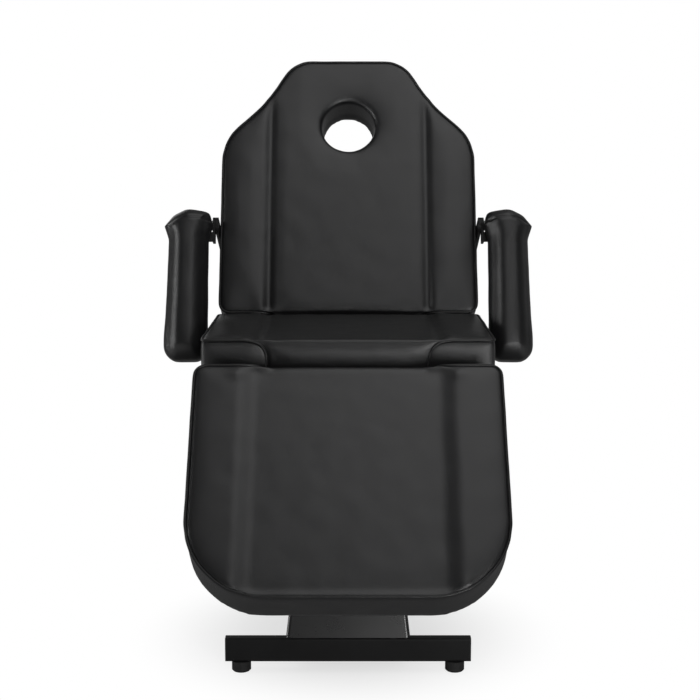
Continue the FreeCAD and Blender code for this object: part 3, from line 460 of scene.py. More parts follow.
class Section:
    """A padded section of the chair: its place, its outline and the shape of its top.

    In its own frame y runs along the section and z is the height over its board's underside.
    """

    groove = Groove(width=0.01, depth=0.0)
    hole = None
    far_open = False
    slope = 0.0
    pucker = 0.0025
    eye_room = 0.0

    def __init__(self, **shape):
        vars(self).update(shape)
        self.inward = 1 if self.far > self.near else -1

    def ends(self):
        """Each end, with the way in from it."""
        return [(self.near, self.inward), (self.far, -self.inward)]

    def open_ends(self):
        """The ends that the middle panel rolls over."""
        return self.ends() if self.far_open else self.ends()[:1]


def hinged(joint_name, base):
    """The frame of a section that lies level at the end of its joint's range."""
    joint = JOINTS[joint_name]
    turn = Matrix.Rotation(math.radians(joint["range_deg"][1]), 4, "X")
    hinge = Matrix.Translation((0, *joint["pos_m"][1:]))
    return hinge @ turn @ Matrix.Translation((0, 0, base))


# the backrest's outline above its straight sides
SHOULDER_RISE, SHOULDER_RADIUS = 0.444, 0.125
NECK_RISE, NECK_HALF, NECK_RADIUS = 0.528, 0.204, 0.430
HEAD_HALF, HEAD_RADIUS = 0.133, 0.078
HINGE_CORNER = 0.022
TOE_CORNER = 0.155
SEAT_CORNER = 0.012


def backrest_section(pads):
    cut = pads.inset
    low = pads.back_start
    high = low + pads.back_length
    half = pads.back_half - cut
    right = [
        (half, low + cut, HINGE_CORNER),
        (half, low + SHOULDER_RISE, SHOULDER_RADIUS),
        (NECK_HALF - cut, low + NECK_RISE, NECK_RADIUS),
        (HEAD_HALF - cut, high - cut, HEAD_RADIUS),
    ]
    return Section(
        name="backrest",
        body="backrest",
        matrix=hinged("backrest_recline", pads.back_under),
        near=low + cut,
        far=high - cut,
        corners=right + [(-x, y, radius) for x, y, radius in reversed(right)],
        hole=Hole(y=low + pads.hole_rise, radius=pads.hole_radius),
        valley=Valley(middle=0.186, half=0.018, depth=0.006),
        groove=Groove(width=0.0095, depth=0.0030),
        panel_drop=0.004,
        pucker=0.0006,
        fade=0.024,
        waterfall=0.011,
    )


def legrest_section(pads):
    near = -pads.inset
    far = pads.inset - pads.leg_length
    half = pads.leg_half - pads.inset
    hinge_end = [(half, near, HINGE_CORNER), (-half, near, HINGE_CORNER)]
    toe_end = [(-half, far, TOE_CORNER), (half, far, TOE_CORNER)]
    return Section(
        name="legrest",
        body="legrest",
        matrix=hinged("legrest_raise", 0.0),
        near=near,
        far=far,
        corners=hinge_end + toe_end,
        valley=Valley(middle=0.199, half=0.021, depth=0.0),
        slope=1.0,
        panel_drop=0.010,
        fade=0.010,
        waterfall=0.016,
        eye_room=0.016,
    )


def seat_section(pads):
    middle = (SEAT_LOW.y + SEAT_HIGH.y) / 2
    half = pads.seat_half - pads.inset
    deep = pads.seat_half_depth - pads.inset
    around = [(half, -deep), (half, deep), (-half, deep), (-half, -deep)]
    return Section(
        name="seat",
        body="base",
        matrix=Matrix.Translation((0, middle, SEAT_LOW.z)),
        near=-deep,
        far=deep,
        corners=[(x, y, SEAT_CORNER) for x, y in around],
        far_open=True,
        valley=Valley(middle=0.188, half=0.024, depth=0.005),
        groove=Groove(width=0.009, depth=0.0015),
        panel_drop=0.006,
        fade=0.010,
        waterfall=0.0048,
    )


# where the piping leaves a pad's top edge and runs down its end, as x and height
END_RUN = (
    (0.165, 0.004),
    (0.166, 0.028),
    (0.166, 0.050),
    (0.168, 0.069),
    (0.174, 0.083),
    (0.186, 0.091),
    (0.205, 0.0957),
)
END_TURN = 0.216
AT_END = 0.001
PIPING_STANDS = 0.7


def piping_runs(section, pads):
    """The lines that the piping follows on a pad, one for each length of piping."""
    outline = [Vector(point) for point in rounded_outline(section.corners, step=0.005)]

    def down_from(point):
        return [Vector((math.copysign(x, point.x), point.y, z)) for x, z in END_RUN]

    def on_open_end(point):
        at_end = any(abs(point.y - end) < AT_END for end, inward in section.open_ends())
        return at_end and abs(point.x) < END_TURN

    open_end = [on_open_end(point) for point in outline]
    count = len(outline)
    starts = [i for i in range(count) if open_end[i - 1] and not open_end[i]]
    runs = []
    for start in starts:
        line = []
        index = start
        while not open_end[index % count]:
            point = outline[index % count]
            line.append(Vector((point.x, point.y, pads.edge_height)))
            index += 1
        runs.append(down_from(line[0]) + line + down_from(line[-1])[::-1])
    return runs


def curve_through(name, points, kind):
    data = bpy.data.curves.new(name, "CURVE")
    data.dimensions = "3D"
    spline = data.splines.new(kind)
    spline.points.add(len(points) - 1)
    for item, point in zip(spline.points, points):
        item.co = (*point, 1)
    return data


def way_along(points):
    """Each point's distance along the line from its first point."""
    return np.r_[0, np.cumsum(np.linalg.norm(np.diff(points, axis=0), axis=1))]


def spread(points, step):
    """Points at even steps along a smooth line through the given ones."""
    data = curve_through("run", points, "NURBS")
    spline = data.splines[0]
    spline.order_u = 4
    spline.use_endpoint_u = True
    spline.resolution_u = 4
    holder = bpy.data.objects.new("run", data)
    mesh = bpy.data.meshes.new_from_object(holder)
    dense = points_of(mesh)
    bpy.data.objects.remove(holder)
    bpy.data.curves.remove(data)
    bpy.data.meshes.remove(mesh)
    ways = way_along(dense)
    places = np.linspace(0, ways[-1], max(2, round(ways[-1] / step)))
    return np.column_stack([np.interp(places, ways, dense[:, axis]) for axis in range(3)])


def sewn_to(foam, line, radius):
    """A line of piping drawn onto the cover, partly sunk in it, and evened out."""
    vertices = [vertex.co for vertex in foam.data.vertices]
    faces = [list(face.vertices) for face in foam.data.polygons]
    tree = BVHTree.FromPolygons(vertices, faces)
    found = [tree.find_nearest(point) for point in line]
    stand = radius * PIPING_STANDS
    laid = np.array([place + normal * stand for place, normal, index, gap in found])
    for turn in range(4):
        laid[1:-1] = laid[1:-1] / 2 + (laid[:-2] + laid[2:]) / 4
    return laid


def piping_tube(name, lines, radius):
    """Round cord along each line, closed at its ends."""
    pieces = []
    for line in lines:
        data = curve_through(name, line, "POLY")
        data.bevel_depth = radius
        data.bevel_resolution = 4
        data.use_fill_caps = True
        holder = bpy.data.objects.new(name, data)
        bpy.context.scene.collection.objects.link(holder)
        pieces.append(holder)
    take(*pieces)
    bpy.ops.object.convert(target="MESH")
    return joined(name, pieces)


def outline_prism(name, outline, low, high):
    """A block cut to an outline."""
    deselect()
    bpy.ops.mesh.primitive_circle_add(vertices=len(outline), radius=1, fill_type="NGON")
    block = bpy.context.object
    block.name = name
    put_points(block.data, outline + (0, 0, low))
    bpy.ops.object.mode_set(mode="EDIT")
    bpy.ops.mesh.select_all(action="SELECT")
    bpy.ops.mesh.extrude_region_move(TRANSFORM_OT_translate={"value": (0, 0, high - low)})
    bpy.ops.mesh.select_all(action="SELECT")
    bpy.ops.mesh.normals_make_consistent(inside=False)
    bpy.ops.object.mode_set(mode="OBJECT")
    return block


def cut_hole(block, centre_y, radius):
    """Cut the round face hole through a block."""
    deselect()
    bpy.ops.mesh.primitive_cylinder_add(
        vertices=96, radius=radius, depth=0.4, location=(0, centre_y, 0)
    )
    cutter = bpy.context.object
    finish_with(block, "BOOLEAN", object=cutter, operation="DIFFERENCE", solver="EXACT")
    bpy.data.objects.remove(cutter)


def nearest(points, line):
    """Distance from each point to a line's nearest point, and which of them that is."""
    tree = KDTree(len(line))
    for index, place in enumerate(line):
        tree.insert(place, index)
    tree.balance()
    found = [tree.find(point) for point in points]
    return np.array([item[2] for item in found]), np.array([item[1] for item in found])


def laid_flat(points):
    return points * (1, 1, 0)


# how far below and behind a square edge points still belong to its top and its side
TOP_BAND = 0.004
SIDE_BAND = 0.003


def rolled(reach, height, edge, rise, radius):
    """Roll a square edge to a radius: which points move, and their new way in and height."""
    top = (height > edge - TOP_BAND) & (reach < radius)
    side = (reach < SIDE_BAND) & (height > edge - radius + np.minimum(rise, 0)) & ~top
    down = radius + (edge - height) * radius / (radius - rise)
    run = np.where(side, down, radius - np.clip(reach, 0, None))
    turn = np.clip(run / (2 * radius), 0, 1) * math.pi / 2
    drop = radius - radius * np.cos(turn)
    return top | side, radius - radius * np.sin(turn), edge + rise - drop


# the vinyl cover as a cloth, and the steps in which it swells
COVER = {
    "quality": 4,
    "mass": 0.25,
    "tension_stiffness": 12,
    "compression_stiffness": 12,
    "shear_stiffness": 6,
    "bending_stiffness": 2,
    "use_pressure": True,
    "vertex_group_mass": "sewn",
    "pin_stiffness": 1,
}
SWELL_STEPS = 20


def swell(foam, sewn, pressure, cap):
    """Blow the foam up inside its cover; sewn points stay where they are."""
    before = points_of(foam.data)
    group = foam.vertex_groups.new(name="sewn")
    for weight in np.unique(sewn):
        if weight > 0:
            group.add(np.flatnonzero(sewn == weight).tolist(), float(weight), "REPLACE")
    take(foam)
    modifier = foam.modifiers.new("Cloth", "CLOTH")
    for name, value in COVER.items():
        setattr(modifier.settings, name, value)
    modifier.settings.uniform_pressure_force = pressure
    modifier.settings.effector_weights.gravity = 0
    modifier.collision_settings.use_collision = False
    modifier.point_cache.frame_start = 1
    modifier.point_cache.frame_end = SWELL_STEPS
    scene = bpy.context.scene
    for step in range(1, SWELL_STEPS + 1):
        scene.frame_set(step)
    bpy.ops.object.modifier_apply(modifier=modifier.name)
    scene.frame_set(1)
    move = points_of(foam.data) - before
    lengths = np.linalg.norm(move, axis=1, keepdims=True)
    move *= np.minimum(1, cap / np.maximum(lengths, cap / 1000))
    put_points(foam.data, before + move)
    foam.vertex_groups.clear()


def filled(foam, sewn, pressure, cap):
    """Swell the foam, then smooth its grid and refine it once."""
    swell(foam, sewn, pressure, cap)
    finish_with(foam, "SMOOTH", factor=0.5, iterations=3)
    finish_with(foam, "SUBSURF", levels=1, render_levels=1)


def uneven_cover(points, normals, scale, height):
    """Small unevenness of a hand-sewn cover, with none on its underside."""
    waves = np.array([noise.noise(Vector(point) * scale) for point in points]) * height
    return waves * smooth_step(-0.9, -0.5, normals[:, 2])


# the middle panel rolls over the end inside the first side and the edge is firm outside the second
ROLL_SIDES = (0.158, 0.190)
FIRM_ROLL = 0.004
PANEL_SIDES = (0.150, 0.175)
PANEL_BULGE = 0.002
BULGE_RUN = 0.025
DOME_RUN = 0.015
# a valley dies out over this way at a seam, and over the section's own way past this zone
SEAM_FADE = 0.010
FADE_ZONE = (0.05, 0.15)
# how much smaller the foam's hole is than the board's, and how the cover turns into it
HOLE_FIT = 0.0015
HOLE_ROLL = 0.010
HOLE_LIP = 0.0035
# where the legrest's cover lifts to clear the hinge eyes
EYE_RUN = (-0.034, -0.016)
FOAM_STEP = 0.006
# how far a cover laps below its board
UNDER = 0.001
# what is held while a pad swells: how near a seam or the board, and how deep in a valley
HELD_SEAM = 0.007
HELD_BOARD = 0.006
VALLEY_FLOOR = 0.85
VALLEY_HOLD = 0.8


def valley_share(section, x):
    """How deep in a valley each point lies, from 0 to 1; a pad that only slopes has none."""
    valley = section.valley
    if not valley.depth:
        return np.zeros_like(x)
    return np.cos(np.clip((np.abs(x) - valley.middle) / valley.half, -1, 1) * math.pi / 2) ** 2


def seam_share(section, y, from_seam):
    """How much of a valley is left near a seam: it dies out more slowly at the shoulders."""
    along = smooth_step(*FADE_ZONE, (y - section.near) * section.inward)
    return 1 - np.exp(-((from_seam / (SEAM_FADE + (section.fade - SEAM_FADE) * along)) ** 2))


def top_rise(section, crown, x, y, from_seam):
    """How far the top stands above the piped edge: bolsters, valleys and a lower middle panel."""
    middle, half, depth = section.valley
    rim = from_seam
    if section.hole:
        rim = np.minimum(rim, np.abs(np.hypot(x, y - section.hole.y) - section.hole.radius))
    domed = 1 - np.exp(-rim / DOME_RUN)
    valley = valley_share(section, x)
    panel = 1 - smooth_step(middle - half, middle + half * section.slope, np.abs(x))
    sunk = valley * depth + (1 - valley) * panel * section.panel_drop
    return domed * crown - seam_share(section, y, from_seam) * sunk


def near_top(height, edge):
    """1 on the top of a square block, easing to 0 just below it."""
    return smooth_step(edge - 0.008, edge - 0.002, height)


def over_ends(section, edge, rise, height, x, y, z):
    """Roll the middle panel over each open end of a pad and let it bulge there a little."""
    side = np.abs(x)
    radius = FIRM_ROLL + (section.waterfall - FIRM_ROLL) * (1 - smooth_step(*ROLL_SIDES, side))
    panel = 1 - smooth_step(*PANEL_SIDES, side)
    for end, inward in section.open_ends():
        moved, reach, level = rolled((y - end) * inward, height, edge, rise, radius)
        moved &= side < ROLL_SIDES[1]
        y = np.where(moved, end + inward * reach, y)
        z = np.where(moved, level, z)
        reach = (y - end) * inward
        y = y - inward * PANEL_BULGE * panel * (1 - smooth_step(0.0, BULGE_RUN, reach))
    return x, y, z


def into_hole(hole, edge, rise, height, x, y, z):
    """Roll the top into the face hole and lap the cover over its rim at the back."""
    around = np.hypot(x, y - hole.y)
    radius = hole.radius - HOLE_FIT
    moved, reach, level = rolled(around - radius, height, edge, rise, HOLE_ROLL)
    scale = np.where(moved, (radius + reach) / np.maximum(around, radius / 2), 1)
    x = x * scale
    y = hole.y + (y - hole.y) * scale
    z = np.where(moved, level, z)
    low_down = 1 - smooth_step(0.012, 0.03, height)
    rim = (1 - smooth_step(0.0, 0.016, around - radius)) * low_down
    x = x * (1 - rim * HOLE_LIP / radius)
    y = y - (y - hole.y) * rim * HOLE_LIP / radius
    return x, y, z - rim * HOLE_LIP


def section_cushion(section, pads):
    """A pad of one section, cut, shaped, swelled and creased, and the lines of its piping."""
    edge = pads.edge_height
    outline = rounded_outline(section.corners, FOAM_STEP)
    foam = outline_prism(f"{section.name}_upholstery", outline, -UNDER, edge)
    if section.hole:
        cut_hole(foam, section.hole.y, section.hole.radius - HOLE_FIT)
    finish_with(foam, "REMESH", mode="VOXEL", voxel_size=pads.voxel, use_smooth_shade=True)
    lines = [spread(run, step=0.004) for run in piping_runs(section, pads)]
    piped = np.vstack(lines)

    points = points_of(foam.data)
    x, y, height = points.T
    plan_seam = nearest(laid_flat(points), laid_flat(piped))[0]
    rise = top_rise(section, pads.crown, x, y, plan_seam)
    z = height + near_top(height, edge) * rise
    x, y, z = over_ends(section, edge, rise, height, x, y, z)
    if section.hole:
        x, y, z = into_hole(section.hole, edge, rise, height, x, y, z)
    if section.eye_room:
        z = np.maximum(z, section.eye_room * smooth_step(*EYE_RUN, y) - UNDER)
    put_points(foam.data, np.column_stack([x, y, z]))

    from_seam = nearest(points, piped)[0]
    sewn = np.where((from_seam < HELD_SEAM) | (height < HELD_BOARD), 1.0, 0.0)
    in_valley = (valley_share(section, x) > VALLEY_FLOOR) & (height > edge - HELD_BOARD)
    sewn = np.maximum(sewn, np.where(in_valley, VALLEY_HOLD, 0.0))
    filled(foam, sewn, pads.pressure, pads.swell_cap)
    crease_cover(foam, section, piped)
    return foam, [sewn_to(foam, line, pads.piping_radius) for line in lines]


def crease_cover(foam, section, piped):
    """Draw the cover in along the piping and the valleys, and leave it a little uneven."""
    points = points_of(foam.data)
    normals = points_of(foam.data, "normal")
    side, along = np.abs(points[:, 0]), points[:, 1]
    facing_up = smooth_step(0.3, 0.8, normals[:, 2])
    plan_seam = nearest(laid_flat(points), laid_flat(piped))[0]
    crease = hump(nearest(points, piped)[0], middle=0, width=0.0060, height=0.0014)
    groove = hump(side, section.valley.middle, *section.groove)
    groove *= seam_share(section, along, plan_seam) * facing_up
    uneven = uneven_cover(points, normals, scale=22.0, height=0.0006)
    by_valley = hump(side, middle=section.valley.middle + 0.022, width=0.016)
    for end, inward in section.ends():
        pucker = by_valley * hump((along - end) * inward, middle=0.024, width=0.014)
        uneven += pucker * facing_up * section.pucker
    points = points + normals * (uneven - crease)[:, None] - np.outer(groove, (0, 0, 1))
    put_points(foam.data, points)


LINING = 0.0008
LINING_INSET = 0.007
STAPLE_INSET = 0.0045
STAPLE_PITCH = 0.045
STAPLE_SIZE = (0.0105, 0.0012, 0.0009)
STAPLE_AIM = 0.002


def staple_row(name, outline, level, keep_off):
    """Wire staples round the edge of a cloth, all copies of one."""
    deselect()
    bpy.ops.mesh.primitive_cube_add(size=1)
    first = bpy.context.object
    first.data.transform(Matrix.Diagonal((*STAPLE_SIZE, 1)))
    finish_with(first, "BEVEL", width=STAPLE_SIZE[2] / 3, segments=1)
    closed = np.vstack([outline, outline[:1]])
    ways = way_along(closed)

    def spot_at(way):
        return [np.interp(way, ways, closed[:, axis]) for axis in (0, 1)]

    row = []
    for way in np.linspace(0, ways[-1], round(ways[-1] / STAPLE_PITCH), endpoint=False):
        spot, ahead = spot_at(way), spot_at(way + STAPLE_AIM)
        if keep_off(*spot):
            continue
        turn = math.atan2(ahead[1] - spot[1], ahead[0] - spot[0])
        matrix = Matrix.Translation((*spot, level)) @ Matrix.Rotation(turn, 4, "Z")
        row.append(copied(first, name, matrix))
    bpy.data.objects.remove(first)
    return joined(name, row)


def flat_area(outline):
    x, y = outline[:, 0], outline[:, 1]
    return abs(np.dot(x, np.roll(y, -1)) - np.dot(y, np.roll(x, -1))) / 2


def close_up(piece, body, finish):
    """Set a finished piece on its body with its finish."""
    piece.data.materials.clear()
    piece.data.materials.append(finish_named(finish))
    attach(piece, body)


def shaded(piece, matrix):
    """Move a finished piece to its place on the chair and shade it smooth."""
    piece.data.transform(matrix)
    take(piece)
    bpy.ops.object.shade_smooth()


def line_underside(*, name, body, outline, level, hole, keep_off, matrix):
    """Dust cloth under one pad, and staples where nothing keeps them off."""
    inward = inward_of(outline)
    edge = outline + inward * LINING_INSET
    cloth = outline_prism(f"{name}_dust_cloth", edge, level - LINING, level)
    area = flat_area(edge)
    if hole:
        opening = hole.radius + LINING_INSET
        cut_hole(cloth, hole.y, opening)
        area -= math.pi * opening**2
    line = edge + inward * STAPLE_INSET
    staples = staple_row(f"{name}_staples", line, level - LINING, keep_off)
    for piece in (cloth, staples):
        piece.data.transform(matrix)
    close_up(cloth, body, "dust_cloth")
    close_up(staples, body, "zinc_plate")
    size = edge.max(axis=0) - edge.min(axis=0)


CLOTH_CORNER = 0.030
# the legrest's cloth ends this far from the hinge, and no staple sits near a hinge plate
CLOTH_FROM_HINGE = 0.045
PLATE_SIDE, PLATE_RUN = 0.265, 0.080


def build_section(section, pads):
    """Cover, piping, dust cloth and staples of one section."""
    name = section.name
    cushion, lines = section_cushion(section, pads)
    tube = piping_tube(f"{name}_piping", lines, pads.piping_radius)
    for piece, finish in ((cushion, "black_vinyl"), (tube, "piping_vinyl")):
        shaded(piece, section.matrix)
        close_up(piece, section.body, finish)
    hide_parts(f"{name}_cushion")

    corners = [(x, y, max(radius, CLOTH_CORNER)) for x, y, radius in section.corners]
    if section.inward < 0:
        corners = [(x, min(y, -CLOTH_FROM_HINGE), radius) for x, y, radius in corners]

    def by_hinge(x, y):
        return abs(x) > PLATE_SIDE and (y - section.near) * section.inward < PLATE_RUN

    line_underside(
        name=name,
        body=section.body,
        outline=rounded_outline(corners, FOAM_STEP),
        level=-2 * UNDER,
        hole=section.hole,
        keep_off=by_hinge,
        matrix=section.matrix,
    )


class CHAIR_OT_backrest(bpy.types.Operator):
    """Upholster the backrest with its face hole"""

    bl_idname = "chair.backrest"
    bl_label = "Backrest Pad"

    def execute(self, context):
        pads = context.scene.chair_pads
        build_section(backrest_section(pads), pads)
        return {"FINISHED"}


class CHAIR_OT_seat(bpy.types.Operator):
    """Upholster the seat"""

    bl_idname = "chair.seat"
    bl_label = "Seat Pad"

    def execute(self, context):
        pads = context.scene.chair_pads
        build_section(seat_section(pads), pads)
        return {"FINISHED"}


class CHAIR_OT_legrest(bpy.types.Operator):
    """Upholster the legrest"""

    bl_idname = "chair.legrest"
    bl_label = "Legrest Pad"

    def execute(self, context):
        pads = context.scene.chair_pads
        build_section(legrest_section(pads), pads)
        return {"FINISHED"}


ARM_ROLL, ARM_HEEL_ROLL, ARM_TIP_ROLL = 0.036, 0.034, 0.040
ARM_CROWN = 0.011
ARM_HELD_BOARD = 0.004
# how high the seam of the cap starts, and how near it the cover is held
CAP_HEIGHT, CAP_HELD = 0.046, 0.003
# how near the cap comes to the hinge strap, and its height over the hinge plate there
HINGE_SIDE = 0.3150
HINGE_LIFT = 0.026
# no staple sits on the hinge plate
ARM_PLATE_SIDE, ARM_PLATE_RUN = 0.385, (-0.180, 0.0)


def arm_corners(pads):
    """Outline of the right armrest: a slanting dome, an ear where seams meet, a flared tip."""
    inside, outside = pads.arm_inside, pads.arm_outside
    tip, heel = pads.arm_tip, pads.arm_heel
    return [
        (inside - 0.002, tip, 0.030),
        (outside + 0.006, tip, 0.034),
        (outside, -0.170, 0.300),
        (outside - 0.003, -0.046, 0.020),
        (outside + 0.008, -0.013, 0.003),
        (outside - 0.014, heel - 0.014, 0.025),
        (outside - 0.046, heel, 0.040),
        (HINGE_SIDE + 0.008, heel - 0.006, 0.012),
        (HINGE_SIDE, heel - 0.036, 0.010),
        (inside, heel - 0.066, 0.040),
    ]


def arm_under(pads):
    """Outline of the right armrest's underside, without the ear."""
    inside = pads.arm_inside + pads.inset
    outside = pads.arm_outside - pads.inset * 2
    tip = pads.arm_tip + pads.inset * 2
    heel = pads.arm_heel - 0.016
    lower_end = [(inside, tip, 0.026), (outside, tip, 0.026)]
    return lower_end + [(outside, heel, 0.030), (inside, heel, 0.020)]


def cap_seam(x):
    """Place along the right armrest of the seam between its cap and its long panel."""
    outer_dip = 0.013 * smooth_step(0.388, 0.424, x)
    inner_dip = 0.004 * smooth_step(0.345, 0.328, x)
    return 0.001 - outer_dip - inner_dip


def arm_cover(pads):
    """The right armrest's pad: a long pillow with rolled edges and a sewn cap at its upper end."""
    outline = rounded_outline(arm_corners(pads), step=0.003)
    tip = pads.arm_tip
    edge = pads.arm_high - ARM_CROWN
    foam = outline_prism("right_armrest_cover", outline, pads.arm_low - UNDER, edge)
    finish_with(foam, "REMESH", mode="VOXEL", voxel_size=pads.arm_voxel, use_smooth_shade=True)

    points = points_of(foam.data)
    x, y, height = points.T
    reach, index = nearest(laid_flat(points), outline)
    middle = (pads.arm_inside + pads.arm_outside) / 2
    across = (x - middle) / (pads.arm_outside - middle)
    rise = ARM_CROWN * (1 - np.clip(np.abs(across), 0, 1) ** 2)
    rise = rise + hump(y, middle=tip + 0.060, width=0.045, height=0.004)
    radius = ARM_ROLL + (ARM_HEEL_ROLL - ARM_ROLL) * smooth_step(-0.040, 0.0, y)
    radius = radius + (ARM_TIP_ROLL - ARM_ROLL) * smooth_step(tip + 0.060, tip + 0.020, y)
    moved, way_in, level = rolled(reach, height, edge, rise, radius)
    place = outline[index] + inward_of(outline)[index] * way_in[:, None]
    x = np.where(moved, place[:, 0], x)
    y = np.where(moved, place[:, 1], y)
    z = np.where(moved, level, height + near_top(height, edge) * rise)
    by_hinge = smooth_step(pads.arm_inside + 0.004, pads.arm_inside - 0.004, x)
    z = np.maximum(z, HINGE_LIFT * by_hinge)
    put_points(foam.data, np.column_stack([x, y, z]))

    on_cap = (np.abs(y - cap_seam(x)) < CAP_HELD) & (z > CAP_HEIGHT)
    sewn = np.where((height < pads.arm_low + ARM_HELD_BOARD) | on_cap, 1.0, 0.0)
    filled(foam, sewn, pads.pressure, cap=0.004)

    points = points_of(foam.data)
    normals = points_of(foam.data, "normal")
    x, y, z = points.T
    crease = hump(y, middle=cap_seam(x), width=0.0028, height=0.0020)
    crease *= smooth_step(CAP_HEIGHT, CAP_HEIGHT + 0.010, z)
    uneven = uneven_cover(points, normals, scale=24.0, height=0.0008)
    put_points(foam.data, points + normals * (uneven - crease)[:, None])
    return foam


class CHAIR_OT_armrests(bpy.types.Operator):
    """Upholster both armrests"""

    bl_idname = "chair.armrests"
    bl_label = "Armrest Pads"

    def execute(self, context):
        pads = context.scene.chair_pads
        pivot = JOINTS["right_arm_swing"]["pos_m"]
        hang = Matrix.Translation((0, *pivot[1:])) @ Matrix.Rotation(pads.arm_tilt, 4, "X")
        right = arm_cover(pads)
        left = copied(right, "left_armrest_cover", Matrix.Scale(-1, 4, (1, 0, 0)))
        right_edge = rounded_outline(arm_under(pads), step=0.004)
        left_edge = (right_edge * (-1, 1, 1))[::-1]

        def on_plate(x, y):
            return abs(x) < ARM_PLATE_SIDE and ARM_PLATE_RUN[0] < y < ARM_PLATE_RUN[1]

        for side, piece, edge in (("right", right, right_edge), ("left", left, left_edge)):
            shaded(piece, hang)
            close_up(piece, f"{side}_arm", "black_vinyl")
            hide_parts(f"{side}_arm_pad")
            line_underside(
                name=f"{side}_armrest",
                body=f"{side}_arm",
                outline=edge,
                level=pads.arm_low - 2 * UNDER,
                hole=None,
                keep_off=on_plate,
                matrix=hang,
            )
        return {"FINISHED"}


# the first of these words that a node's name holds gives its finish
NODE_FINISHES = {
    "board": "birch_plywood",
    "cap": "cap_plastic",
    "rubber": "moulded_rubber",
    "bracket": "matt_black_coat",
    "pin": "zinc_plate",
    "bolt": "zinc_plate",
    "screw": "zinc_plate",
    "stay_bar": "zinc_plate",
    "stay_channel": "zinc_plate",
    "pedestal": "satin_black_coat",
    "": "matt_black_coat",
}


class CHAIR_OT_steel(bpy.types.Operator):
    """Give the frame, the fittings and the feet their finishes"""

    bl_idname = "chair.steel"
    bl_label = "Frame Finishes"

    def execute(self, context):
        for name, node in frame["nodes"].items():
            word = next(word for word in NODE_FINISHES if word in name)
            node.data.materials.clear()
            node.data.materials.append(finish_named(NODE_FINISHES[word]))
        return {"FINISHED"}


# each light: its place, what it points at, its width and height, and the setting of its power
LIGHTS = {
    "overhead_light": ((0.55, -0.55, 2.9), (0.2, -0.1, 0.6), (2.4, 2.2), "overhead"),
    "front_light": ((0.6, -3.2, 2.5), (0, 0, 0.8), (1.8, 1.0), "front"),
    "key_light": ((1.25, -3.3, 0.55), (0.2, -0.1, 0.6), (0.9, 0.9), "key"),
    "rear_light": ((-1.7, 2.6, 1.9), (0, 0.3, 0.7), (1.6, 1.2), "rear"),
    "strip_light": ((-2.4, -0.2, 1.0), (0, 0.1, 0.7), (0.30, 1.6), "strip"),
}
BACKDROP_GLOSS = 0.2


def add_light(name, place, target, size, energy):
    data = bpy.data.lights.new(name, "AREA")
    data.shape = "RECTANGLE"
    data.size, data.size_y = size
    data.energy = energy
    lamp = bpy.data.objects.new(name, data)
    bpy.context.scene.collection.objects.link(lamp)
    lamp.location = place
    lamp.rotation_euler = (Vector(target) - Vector(place)).to_track_quat("-Z", "Y").to_euler()


def white_backdrop(fill, gloom):
    """A room that is white to the camera, lights softly and is brighter behind in reflections."""
    world = bpy.data.worlds.new("white_room")
    bpy.context.scene.world = world
    world.use_nodes = True
    room = Nodes(world.node_tree)
    way = room.node("ShaderNodeTexCoord", output="Generated")
    back = room.between(room.along("Y", way), low=-0.1, high=0.4)
    right = room.between(room.along("X", way), low=-0.2, high=0.6, start=0.5)
    mirrored = gloom + back * right * BACKDROP_GLOSS
    shown = room.ray("Glossy") | room.ray("Transmission")
    level = room.ray("Camera") | (shown * mirrored + (1 - shown) * fill)
    shader = world.node_tree.nodes["Background"]
    room.feed(shader.inputs["Color"], room.shades(level, BLACK, WHITE))
    room.feed(shader.inputs["Strength"], 1.0)


def floor_finish():
    """White sweep that keeps a soft shadow near the chair and fades to the backdrop; in reflections
    it shows a glow with painted shade, dimmer near the chair and behind it.
    """
    finish = Finish("white_floor", Roughness=0.7, Specular_IOR_Level=0.1)
    finish.surface("Base Color", (0.90, 0.90, 0.90, 1))
    camera = finish.ray("Camera")
    glossy = finish.ray("Glossy")
    place = finish.place()
    reach = finish.node("ShaderNodeVectorMath", {"operation": "LENGTH"}, {0: place}, "Value")
    # reflections see the floor as a glow with painted shade: dimmer near the chair and behind it,
    # where the lit floor would lie in shadow, brighter farther out
    behind = finish.between(finish.along("Y", place), low=-0.4, high=0.6, start=1.0, end=0.25)
    mirrored = finish.between(reach, low=0.45, high=1.3, start=0.16, end=0.75) * behind
    share = camera * finish.between(reach, low=0.15, high=0.50, start=0.64) + glossy
    glow = finish.shades(camera + glossy * mirrored, BLACK, WHITE)
    glowing = finish.node("ShaderNodeEmission", None, {"Color": glow, "Strength": 1.0})
    lit = Value(finish, finish.shader.outputs[0])
    mixed = finish.node("ShaderNodeMixShader", None, {0: share, 1: lit, 2: glowing})
    finish.feed(finish.tree.nodes["Material Output"].inputs["Surface"], mixed)
    return finish.material


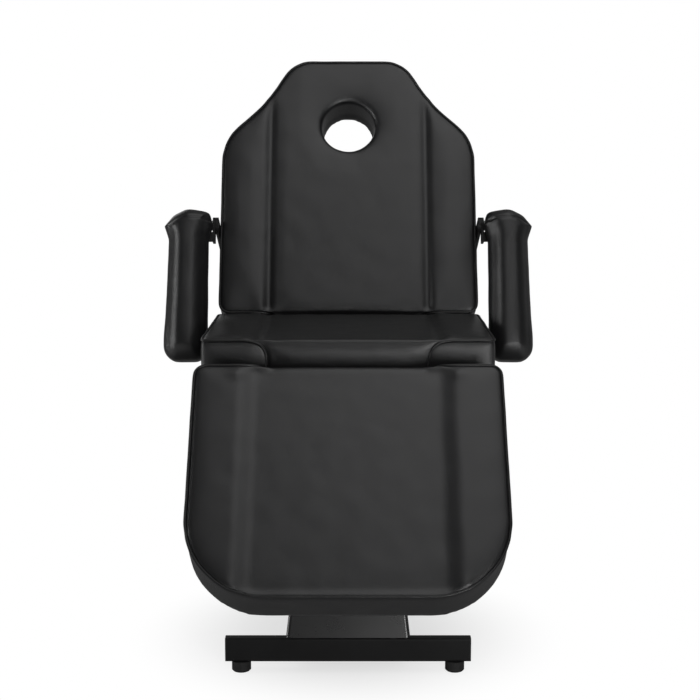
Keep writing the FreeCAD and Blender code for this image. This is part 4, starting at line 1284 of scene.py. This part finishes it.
class CHAIR_OT_stage(bpy.types.Operator):
    """Set up the floor, the lights and the camera"""

    bl_idname = "chair.stage"
    bl_label = "Studio"

    def execute(self, context):
        studio = context.scene.chair_studio
        deselect()
        bpy.ops.mesh.primitive_plane_add(size=14.0)
        floor = context.object
        floor.name = "studio_floor"
        floor.data.materials.append(floor_finish())
        white_backdrop(studio.fill, studio.gloom)
        for name, (place, target, size, setting) in LIGHTS.items():
            add_light(name, place, target, size, getattr(studio, setting))
        data = bpy.data.cameras.new("photo_camera")
        camera = bpy.data.objects.new("photo_camera", data)
        context.scene.collection.objects.link(camera)
        data.sensor_fit = "HORIZONTAL"
        data.lens = studio.focal_pixels / PHOTO_PIXELS * data.sensor_width
        camera.location = (studio.camera_x, studio.camera_y, studio.camera_z)
        camera.rotation_euler = (math.pi / 2 - studio.camera_tilt, 0, 0)
        context.scene.camera = camera
        context.scene.view_settings.view_transform = "Standard"
        return {"FINISHED"}


class CHAIR_PT_panel(bpy.types.Panel):
    """Lists the steps that dress the chair"""

    bl_label = "Beauty Chair"
    bl_idname = "CHAIR_PT_panel"
    bl_space_type = "VIEW_3D"
    bl_region_type = "UI"
    bl_category = "Beauty Chair"

    def draw(self, context):
        for step in STEPS:
            self.layout.operator(step.bl_idname)
        for name in GROUPS:
            values = getattr(context.scene, name)
            box = self.layout.box()
            for entry in values.__annotations__:
                box.prop(values, entry)


GROUPS = {"chair_pads": ChairPads, "chair_finishes": ChairFinishes, "chair_studio": ChairStudio}
STEPS = (
    CHAIR_OT_stage,
    CHAIR_OT_steel,
    CHAIR_OT_backrest,
    CHAIR_OT_seat,
    CHAIR_OT_legrest,
    CHAIR_OT_armrests,
)


def register():
    for name, group in GROUPS.items():
        bpy.utils.register_class(group)
        setattr(bpy.types.Scene, name, bpy.props.PointerProperty(type=group))
    for step in STEPS:
        bpy.utils.register_class(step)
    bpy.utils.register_class(CHAIR_PT_panel)


def unregister():
    bpy.utils.unregister_class(CHAIR_PT_panel)
    for step in reversed(STEPS):
        bpy.utils.unregister_class(step)
    for name, group in reversed(GROUPS.items()):
        delattr(bpy.types.Scene, name)
        bpy.utils.unregister_class(group)


def main():
    register()
    bpy.ops.chair.stage()
    bpy.ops.chair.steel()
    bpy.ops.chair.backrest()
    bpy.ops.chair.seat()
    bpy.ops.chair.legrest()
    bpy.ops.chair.armrests()


if __name__ == "__main__":
    main()
